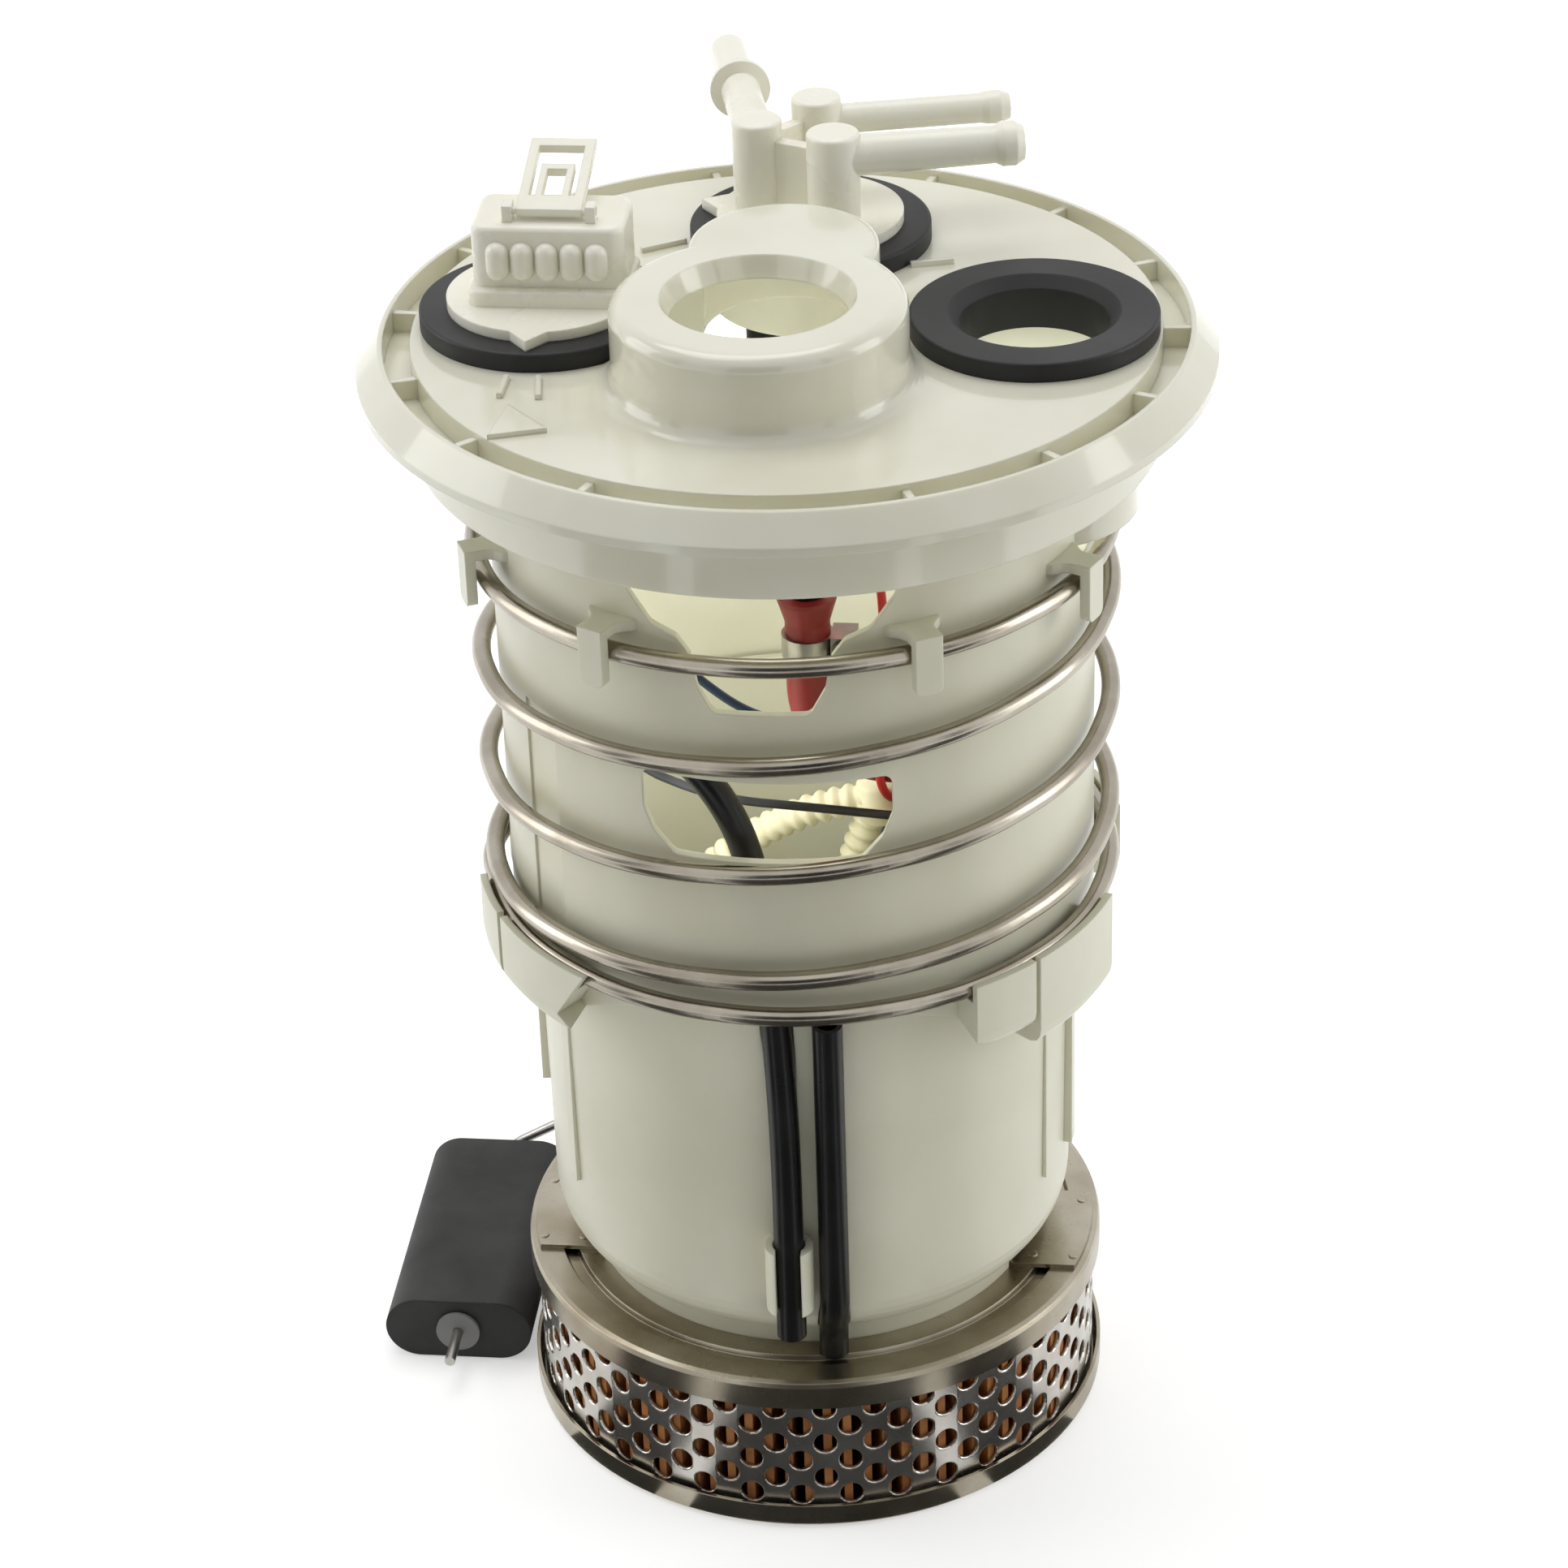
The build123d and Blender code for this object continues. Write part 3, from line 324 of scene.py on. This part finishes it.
def makeGrainGroup():
    group, ins, outs = newGroup(
        "fineGrain",
        (("Vector", "NodeSocketVector", None), ("Grain Scale", "NodeSocketFloat", 1500.0),
         ("Low Roughness", "NodeSocketFloat", 0.4), ("High Roughness", "NodeSocketFloat", 0.5)),
        (("Roughness", "NodeSocketFloat"), ("Height", "NodeSocketFloat")))
    grain = noiseIn(group, ins.outputs["Vector"], ins.outputs["Grain Scale"], 2.0)
    smear = noiseIn(group, ins.outputs["Vector"], skinLook["smearScale"], 4.0)
    spread = group.nodes.new("ShaderNodeMapRange")
    group.links.new(smear, spread.inputs["Value"])
    spread.inputs["From Min"].default_value, spread.inputs["From Max"].default_value = skinLook["smearBand"]
    group.links.new(ins.outputs["Low Roughness"], spread.inputs["To Min"])
    group.links.new(ins.outputs["High Roughness"], spread.inputs["To Max"])
    group.links.new(spread.outputs["Result"], outs.inputs["Roughness"])
    group.links.new(grain, outs.inputs["Height"])
    return group


toneGroup = makeToneGroup()
grainGroup = makeGrainGroup()


def useGroup(tree, group, vector, **values):
    node = tree.nodes.new("ShaderNodeGroup")
    node.node_tree = group
    tree.links.new(vector, node.inputs["Vector"])
    for label, value in values.items():
        node.inputs[label.replace("_", " ")].default_value = value
    return node


def finish(name, light, deep, low, high, metal=0.0, patch=30.0, speck=0.15, grain=1500.0, bump=0.02,
           edge=0.0, coat=0.0, subsurface=0.0, specular=0.5):
    material = bpy.data.materials.new(name)
    material.use_nodes = True
    tree = material.node_tree
    shader = tree.nodes["Principled BSDF"]
    point = tree.nodes.new("ShaderNodeTexCoord").outputs["Object"]
    tone = useGroup(tree, toneGroup, point, Light_Tone=(*light, 1.0), Deep_Tone=(*deep, 1.0),
                    Patch_Scale=patch, Speck=speck)
    skin = useGroup(tree, grainGroup, point, Grain_Scale=grain, Low_Roughness=low, High_Roughness=high)
    tree.links.new(tone.outputs["Color"], shader.inputs["Base Color"])
    tree.links.new(skin.outputs["Roughness"], shader.inputs["Roughness"])
    relief = tree.nodes.new("ShaderNodeBump")
    relief.inputs["Strength"].default_value = 1.0
    relief.inputs["Distance"].default_value = bump / 1000.0
    tree.links.new(skin.outputs["Height"], relief.inputs["Height"])
    if edge:
        softEdge = tree.nodes.new("ShaderNodeBevel")
        softEdge.samples = skinLook["edgeSamples"]
        softEdge.inputs["Radius"].default_value = edge / 1000.0
        tree.links.new(softEdge.outputs["Normal"], relief.inputs["Normal"])
    tree.links.new(relief.outputs["Normal"], shader.inputs["Normal"])
    shader.inputs["Metallic"].default_value = metal
    shader.inputs["Specular IOR Level"].default_value = specular
    shader.inputs["Coat Weight"].default_value = coat
    if subsurface:
        shader.inputs["Subsurface Weight"].default_value = subsurface
        shader.inputs["Subsurface Radius"].default_value = skinLook["scatterRadius"]
        shader.inputs["Subsurface Scale"].default_value = skinLook["scatterScale"]
    return material


# light and deep tone, lowest and highest roughness; bump and edge are in millimetres
materials = {
    "tinned_steel": finish("tinnedSteel", (0.46, 0.425, 0.345), (0.30, 0.255, 0.185), 0.20, 0.36,
        metal=1.0, patch=40.0, speck=0.5, bump=0.006, edge=0.3),
    "filter_paper": finish("filterPaper", (0.46, 0.19, 0.055), (0.26, 0.095, 0.025), 0.7, 0.9,
        patch=120.0, bump=0.08),
    "core_plastic": finish("corePlastic", (0.74, 0.72, 0.65), (0.66, 0.63, 0.54), 0.45, 0.6),
    "ivory_plastic": finish("ivoryMoulding", (0.79, 0.78, 0.635), (0.73, 0.715, 0.56), 0.28, 0.40,
        patch=22.0, speck=0.04, bump=0.006, edge=0.5, subsurface=0.3),
    "ivory_cover": finish("ivoryCover", (0.83, 0.82, 0.70), (0.77, 0.755, 0.615), 0.12, 0.2, patch=26.0,
        speck=0.04, bump=0.005, edge=0.7, subsurface=0.3, coat=0.5),
    "fitting_plastic": finish("fittingMoulding", (0.93, 0.91, 0.80), (0.89, 0.87, 0.74), 0.20, 0.32,
        patch=60.0, speck=0.04, bump=0.006, edge=0.5, subsurface=0.3),
    "black_rubber": finish("sealRubber", (0.010, 0.010, 0.011), (0.018, 0.018, 0.019), 0.5, 0.65,
        specular=0.35),
    "grommet_rubber": finish("grommetRubber", (0.006, 0.006, 0.007), (0.014, 0.014, 0.015), 0.42, 0.6,
        patch=90.0, speck=0.3, bump=0.02, edge=0.5, specular=0.4),
    "hose_black": finish("blackHose", (0.006, 0.006, 0.006), (0.012, 0.012, 0.012), 0.26, 0.4, patch=80.0,
        bump=0.01, specular=0.35),
    "hose_red": finish("redHose", (0.24, 0.016, 0.014), (0.17, 0.010, 0.009), 0.38, 0.5, patch=90.0,
        bump=0.02),
    "clamp_steel": finish("clampSteel", (0.50, 0.49, 0.46), (0.38, 0.37, 0.34), 0.28, 0.42, metal=1.0,
        patch=120.0),
    "coil_steel": finish("coilSteel", (0.44, 0.405, 0.34), (0.32, 0.285, 0.23), 0.18, 0.30, metal=1.0,
        patch=60.0, speck=0.2, bump=0.006),
    "terminal_brass": finish("terminalBrass", (0.72, 0.62, 0.36), (0.60, 0.50, 0.26), 0.25, 0.4,
        metal=1.0),
    "pump_steel": finish("pumpCaseSteel", (0.55, 0.54, 0.52), (0.46, 0.45, 0.43), 0.3, 0.42, metal=1.0),
    "pump_plastic": finish("pumpCapPlastic", (0.05, 0.05, 0.055), (0.08, 0.08, 0.085), 0.4, 0.55),
    "magnet_grey": finish("magnetFerrite", (0.10, 0.10, 0.11), (0.14, 0.14, 0.15), 0.5, 0.7),
    "rotor_copper": finish("rotorWinding", (0.50, 0.24, 0.12), (0.36, 0.17, 0.09), 0.35, 0.5, metal=1.0),
    "tee_plastic": finish("teePlastic", (0.82, 0.77, 0.55), (0.74, 0.68, 0.44), 0.35, 0.5, patch=80.0,
        edge=0.2),
    "wire_red": finish("redInsulation", (0.52, 0.02, 0.02), (0.42, 0.015, 0.015), 0.3, 0.42, patch=120.0),
    "wire_black": finish("blackInsulation", (0.014, 0.014, 0.015), (0.024, 0.024, 0.025), 0.3, 0.42,
        patch=120.0),
    "wire_blue": finish("blueInsulation", (0.006, 0.022, 0.05), (0.008, 0.018, 0.036), 0.3, 0.42,
        patch=120.0),
    "sender_plastic": finish("senderMoulding", (0.78, 0.76, 0.68), (0.70, 0.68, 0.58), 0.35, 0.5,
        edge=0.3),
    "card_ceramic": finish("senderCard", (0.66, 0.64, 0.57), (0.56, 0.53, 0.46), 0.4, 0.55, patch=300.0),
    "arm_steel": finish("armWire", (0.50, 0.49, 0.46), (0.40, 0.39, 0.36), 0.28, 0.4, metal=1.0,
        patch=120.0),
    "float_black": finish("floatNitrile", (0.022, 0.022, 0.0215), (0.036, 0.036, 0.035), 0.55, 0.7,
        patch=60.0, speck=0.5, grain=2600.0, bump=0.03, edge=0.8, specular=0.35),
    "retainer_grey": finish("retainerGrey", (0.30, 0.30, 0.30), (0.24, 0.24, 0.24), 0.45, 0.6, edge=0.2),
}
screenSteel = finish("screenSteel", (0.66, 0.64, 0.60), (0.48, 0.45, 0.40), 0.20, 0.34, metal=1.0, patch=70.0,
                     speck=0.5, bump=0.004)
slotOf = {part["node"]: part["material_slot"] for part in frame["record"]["subparts"]}
for name, node in nodes.items():
    node.data.materials.clear()
    node.data.materials.append(materials[slotOf[name]])
print("materials on", len(nodes), "nodes")


def newTree(name, inputs):
    tree = bpy.data.node_groups.new(name, "GeometryNodeTree")
    tree.interface.new_socket(name="Geometry", in_out="INPUT", socket_type="NodeSocketGeometry")
    sockets = {}
    for label, kind in inputs:
        sockets[label] = tree.interface.new_socket(name=label, in_out="INPUT", socket_type=kind).identifier
    tree.interface.new_socket(name="Geometry", in_out="OUTPUT", socket_type="NodeSocketGeometry")
    return tree, sockets, tree.nodes.new("NodeGroupInput").outputs, tree.nodes.new("NodeGroupOutput").inputs


def addNode(tree, kind, operation=None, mode=None, **values):
    node = tree.nodes.new(kind)
    if operation:
        node.operation = operation
    if mode:
        node.mode = mode
    for label, value in values.items():
        socket = node.inputs[int(label[1:])] if label[0] == "_" else node.inputs[label.replace("_", " ")]
        if isinstance(value, bpy.types.NodeSocket):
            tree.links.new(value, socket)
        else:
            socket.default_value = value
    return node


def calc(tree, kind, a, b=0.0):
    return addNode(tree, "ShaderNodeMath", kind, _0=a, _1=b).outputs["Value"]


def closeTree(tree, geometry, material, outs):
    real = addNode(tree, "GeometryNodeRealizeInstances", Geometry=geometry)
    done = addNode(tree, "GeometryNodeSetMaterial", Geometry=real.outputs[0], Material=material)
    tree.links.new(done.outputs["Geometry"], outs["Geometry"])


def grow(name, source, tree, sockets, values):
    holder = bpy.data.objects.new(name + "Source", source)
    bpy.context.scene.collection.objects.link(holder)
    modifier = holder.modifiers.new("grow", "NODES")
    modifier.node_group = tree
    for label, value in values.items():
        modifier[sockets[label]] = value
    graph = bpy.context.evaluated_depsgraph_get()
    mesh = bpy.data.meshes.new_from_object(holder.evaluated_get(graph))
    bpy.data.objects.remove(holder)
    mesh.name = name
    piece = bpy.data.objects.new(name, mesh)
    bpy.context.scene.collection.objects.link(piece)
    return piece


def flowCurve(name, points):
    curve = bpy.data.curves.new(name, "CURVE")
    curve.dimensions = "3D"
    spline = curve.splines.new("NURBS")
    spline.points.add(len(points) - 1)
    for spot, point in zip(spline.points, points):
        spot.co = (*[c / 1000.0 for c in point], 1.0)
    spline.order_u = 3
    spline.use_endpoint_u = True
    spline.resolution_u = 16
    return curve


def join(name, pieces):
    mesh = bpy.data.meshes.new(name)
    gathered = bmesh.new()
    for piece in pieces:
        gathered.from_mesh(piece.data)
        bpy.data.objects.remove(piece)
    gathered.to_mesh(mesh)
    gathered.free()
    whole = bpy.data.objects.new(name, mesh)
    bpy.context.scene.collection.objects.link(whole)
    return whole


def stand(piece, body, slot, *replaced):
    piece.data.materials.clear()
    piece.data.materials.append(materials[slot])
    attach(piece, body)
    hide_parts(*replaced)


# the ribbed tube with its tee; routes and the tee's span are in millimetres, the rest in metres
corrugated = {
    "tee": (16.5, 0.0, 148.0),
    "arm": [(5, 0, 145.5), (-9, 0, 138.5), (-22, 1, 127), (-30, 3, 110), (-31, 4, 92)],
    "leg": [(12.5, 0, 137), (8, -1, 122), (4, -3, 104), (3, -3, 74)],
    "valley": 0.0027, "ridge": 0.33, "pitch": 0.0031, "sides": 20,
    "stepsPerPitch": 8.0, "crestPower": 0.7,
    "teeRadius": 0.0047, "teeSpan": (142.5, 151.5), "teeSides": 40, "lowEdge": 0.0006, "highEdge": 0.0008,
    "collar": 0.0052, "collarBand": (0.003, 0.005), "collarEase": 0.0003,
}


def corrugationTree():
    tree, sockets, ins, outs = newTree("corrugation", (
        ("Valley Radius", "NodeSocketFloat"), ("Ridge", "NodeSocketFloat"), ("Pitch", "NodeSocketFloat"),
        ("Sides", "NodeSocketInt"), ("Finish", "NodeSocketMaterial")))
    step = calc(tree, "DIVIDE", ins["Pitch"], corrugated["stepsPerPitch"])
    path = addNode(tree, "GeometryNodeResampleCurve", mode="LENGTH", Curve=ins["Geometry"], Length=step)
    along = addNode(tree, "GeometryNodeSplineParameter").outputs["Length"]
    turn = calc(tree, "MULTIPLY", calc(tree, "DIVIDE", along, ins["Pitch"]), math.tau)
    wave = calc(tree, "MULTIPLY_ADD", calc(tree, "COSINE", turn), 0.5)
    wave.node.inputs[2].default_value = 0.5
    swell = calc(tree, "POWER", wave, corrugated["crestPower"])
    scale = calc(tree, "MULTIPLY_ADD", swell, ins["Ridge"])
    scale.node.inputs[2].default_value = 1.0
    ring = addNode(tree, "GeometryNodeCurvePrimitiveCircle", Resolution=ins["Sides"],
                   Radius=ins["Valley Radius"])
    skin = addNode(tree, "GeometryNodeCurveToMesh", Curve=path.outputs["Curve"], Scale=scale, Fill_Caps=True,
                   Profile_Curve=ring.outputs["Curve"])
    smooth = addNode(tree, "GeometryNodeSetShadeSmooth", Geometry=skin.outputs["Mesh"])
    closeTree(tree, smooth.outputs["Geometry"], ins["Finish"], outs)
    return tree, sockets


def lathe(name, profile, centre, sides):
    mesh = bpy.data.meshes.new(name)
    shape = bmesh.new()
    rings = []
    for radius, z in profile:
        if radius == 0:
            rings.append([shape.verts.new((centre[0], centre[1], z))])
            continue
        ring = []
        for k in range(sides):
            turn = math.tau * k / sides
            spot = (centre[0] + radius * math.cos(turn), centre[1] + radius * math.sin(turn), z)
            ring.append(shape.verts.new(spot))
        rings.append(ring)
    for low, high in zip(rings, rings[1:]):
        for k in range(sides):
            n = (k + 1) % sides
            corners = [low[k % len(low)], low[n % len(low)], high[n % len(high)], high[k % len(high)]]
            shape.faces.new(list(dict.fromkeys(corners)))
    bmesh.ops.recalc_face_normals(shape, faces=shape.faces)
    shape.to_mesh(mesh)
    shape.free()
    for face in mesh.polygons:
        face.use_smooth = True
    piece = bpy.data.objects.new(name, mesh)
    bpy.context.scene.collection.objects.link(piece)
    return piece


def makeTeeTube():
    tree, sockets = corrugationTree()
    values = {"Valley Radius": corrugated["valley"], "Ridge": corrugated["ridge"],
              "Pitch": corrugated["pitch"], "Sides": corrugated["sides"], "Finish": materials["tee_plastic"]}
    parts = []
    for branch in ("arm", "leg"):
        curve = flowCurve(branch + "Path", [corrugated["tee"], *corrugated[branch]])
        parts.append(grow("tee" + branch.title(), curve, tree, sockets, values))
    x, y, _ = corrugated["tee"]
    low, high = (z / 1000.0 for z in corrugated["teeSpan"])
    lowEdge, highEdge = corrugated["lowEdge"], corrugated["highEdge"]
    start, end = (low + z for z in corrugated["collarBand"])
    r, collar, ease = corrugated["teeRadius"], corrugated["collar"], corrugated["collarEase"]
    profile = [(0, low), (r - lowEdge, low), (r, low + lowEdge), (r, start), (collar, start + ease),
               (collar, end - ease), (r, end), (r, high - highEdge), (r - highEdge, high), (0, high)]
    parts.append(lathe("teeBody", profile, (x / 1000.0, y / 1000.0), corrugated["teeSides"]))
    piece = join("corrugatedTeeTube", parts)
    stand(piece, "base", "tee_plastic", "convoluted_tube")


makeTeeTube()
print("tee tube done")


# the perforated sheet round the pleats: narrow flats with one rolled hole in each cell, in metres
perforated = {
    "flats": 72, "apothem": 0.0624, "sheet": 0.0008, "holeRadius": 0.0025, "lip": 0.0005,
    "rolledEdge": ((1.0, 0.0), (0.55, 0.1), (0.15, 0.4), (0.0, 0.9)),   # past the hole and deep, in lips
    "pitch": 0.0093, "rows": 3, "bottom": 0.0008, "top": 0.038, "holeSides": 16,
}


def edgePoint(angle, halfWide, halfHigh):
    c, s = math.cos(angle), math.sin(angle)
    reach = min(halfWide / max(abs(c), 1e-9), halfHigh / max(abs(s), 1e-9))
    return reach * c, reach * s


def screenCell(halfWide, halfHigh):
    n = perforated["holeSides"]
    corner = math.atan2(halfHigh, halfWide)
    angles = [math.tau * k / n for k in range(n)]
    border = list(angles)
    for target in (corner, math.pi - corner, math.pi + corner, math.tau - corner):
        k = min(range(n), key=lambda i: abs(angles[i] - target))
        border[k] = target
    r, lip, sheet = perforated["holeRadius"], perforated["lip"], perforated["sheet"]
    rims = [(r + out * lip, -depth * lip) for out, depth in perforated["rolledEdge"]] + [(r, -sheet)]
    verts = [(0.0, *edgePoint(a, halfWide, halfHigh)) for a in border]
    for radius, depth in rims:
        verts += [(depth, radius * math.cos(a), radius * math.sin(a)) for a in angles]
    verts += [(-sheet, *edgePoint(a, halfWide, halfHigh)) for a in border]
    faces = []
    for ring in range(len(rims) + 1):
        for k in range(n):
            m = (k + 1) % n
            faces.append((ring * n + k, ring * n + m, (ring + 1) * n + m, (ring + 1) * n + k))
    mesh = bpy.data.meshes.new("screenCell")
    mesh.from_pydata(verts, [], faces)
    return bpy.data.objects.new("screenCell", mesh)


def screenBlank(halfWide):
    sheet = perforated["sheet"]
    outline = ((-halfWide, 0), (halfWide, 0), (halfWide, 1), (-halfWide, 1))
    verts = [(x, y, z) for x in (0.0, -sheet) for y, z in outline]
    faces = [(0, 1, 2, 3), (7, 6, 5, 4), (0, 4, 5, 1), (2, 6, 7, 3)]
    mesh = bpy.data.meshes.new("screenBlank")
    mesh.from_pydata(verts, [], faces)
    return bpy.data.objects.new("screenBlank", mesh)


def screenTree():
    tree, sockets, ins, outs = newTree("perforation", (
        ("Cell", "NodeSocketObject"), ("Blank", "NodeSocketObject"), ("Flats", "NodeSocketInt"),
        ("Apothem", "NodeSocketFloat"), ("Pitch", "NodeSocketFloat"), ("Rows", "NodeSocketInt"),
        ("Bottom", "NodeSocketFloat"), ("Top", "NodeSocketFloat"), ("First", "NodeSocketFloat"),
        ("Finish", "NodeSocketMaterial")))
    cell = addNode(tree, "GeometryNodeObjectInfo", Object=ins["Cell"]).outputs["Geometry"]
    blank = addNode(tree, "GeometryNodeObjectInfo", Object=ins["Blank"]).outputs["Geometry"]
    index = addNode(tree, "GeometryNodeInputIndex").outputs["Index"]
    spread = addNode(tree, "GeometryNodeJoinGeometry")

    def ringOf(count, column, height, instance, tall):
        points = addNode(tree, "GeometryNodePoints", Count=count)
        step = calc(tree, "DIVIDE", math.tau, ins["Flats"])
        turn = calc(tree, "MULTIPLY", calc(tree, "ADD", column, 0.5), step)
        x = calc(tree, "MULTIPLY", calc(tree, "COSINE", turn), ins["Apothem"])
        y = calc(tree, "MULTIPLY", calc(tree, "SINE", turn), ins["Apothem"])
        spot = addNode(tree, "ShaderNodeCombineXYZ", X=x, Y=y, Z=height).outputs["Vector"]
        placed = addNode(tree, "GeometryNodeSetPosition", Geometry=points.outputs[0], Position=spot)
        angle = addNode(tree, "ShaderNodeCombineXYZ", Z=turn).outputs["Vector"]
        facing = addNode(tree, "FunctionNodeEulerToRotation", Euler=angle).outputs["Rotation"]
        grown = addNode(tree, "ShaderNodeCombineXYZ", X=1.0, Y=1.0, Z=tall).outputs["Vector"]
        copies = addNode(tree, "GeometryNodeInstanceOnPoints", Points=placed.outputs["Geometry"],
                         Instance=instance, Rotation=facing, Scale=grown)
        return copies.outputs["Instances"]

    rows = ins["Rows"]
    column = calc(tree, "FLOOR", calc(tree, "DIVIDE", index, rows))
    row = calc(tree, "SUBTRACT", index, calc(tree, "MULTIPLY", column, rows))
    lag = calc(tree, "MULTIPLY", calc(tree, "MODULO", column, 2.0), 0.5)
    height = calc(tree, "MULTIPLY_ADD", calc(tree, "ADD", row, lag), ins["Pitch"])
    tree.links.new(ins["First"], height.node.inputs[2])
    cells = calc(tree, "MULTIPLY", ins["Flats"], rows)
    tree.links.new(ringOf(cells, column, height, cell, 1.0), spread.inputs[0])
    lagAlone = calc(tree, "MULTIPLY", calc(tree, "MODULO", index, 2.0), 0.5)
    start = calc(tree, "MULTIPLY_ADD", calc(tree, "SUBTRACT", lagAlone, 0.5), ins["Pitch"])
    tree.links.new(ins["First"], start.node.inputs[2])
    end = calc(tree, "MULTIPLY_ADD", rows, ins["Pitch"])
    tree.links.new(start, end.node.inputs[2])
    below = calc(tree, "SUBTRACT", start, ins["Bottom"])
    above = calc(tree, "SUBTRACT", ins["Top"], end)
    tree.links.new(ringOf(ins["Flats"], index, ins["Bottom"], blank, below), spread.inputs[0])
    tree.links.new(ringOf(ins["Flats"], index, end, blank, above), spread.inputs[0])
    closeTree(tree, spread.outputs["Geometry"], ins["Finish"], outs)
    return tree, sockets


def makeScreen():
    p = perforated
    halfWide = p["apothem"] * math.tan(math.pi / p["flats"])
    cell, blank = screenCell(halfWide, p["pitch"] / 2), screenBlank(halfWide)
    tree, sockets = screenTree()
    first = (p["bottom"] + p["top"] - p["pitch"] * (p["rows"] - 0.5)) / 2
    values = {"Cell": cell, "Blank": blank, "Flats": p["flats"], "Apothem": p["apothem"], "Pitch": p["pitch"],
              "Rows": p["rows"], "Bottom": p["bottom"], "Top": p["top"], "First": first,
              "Finish": screenSteel}
    piece = grow("perforatedScreen", bpy.data.meshes.new("screenSeed"), tree, sockets, values)
    stand(piece, "base", "tinned_steel", "filter_screen")
    piece.data.materials[0] = screenSteel
    for tile in (cell, blank):
        bpy.data.objects.remove(tile)


makeScreen()
print("screen done")
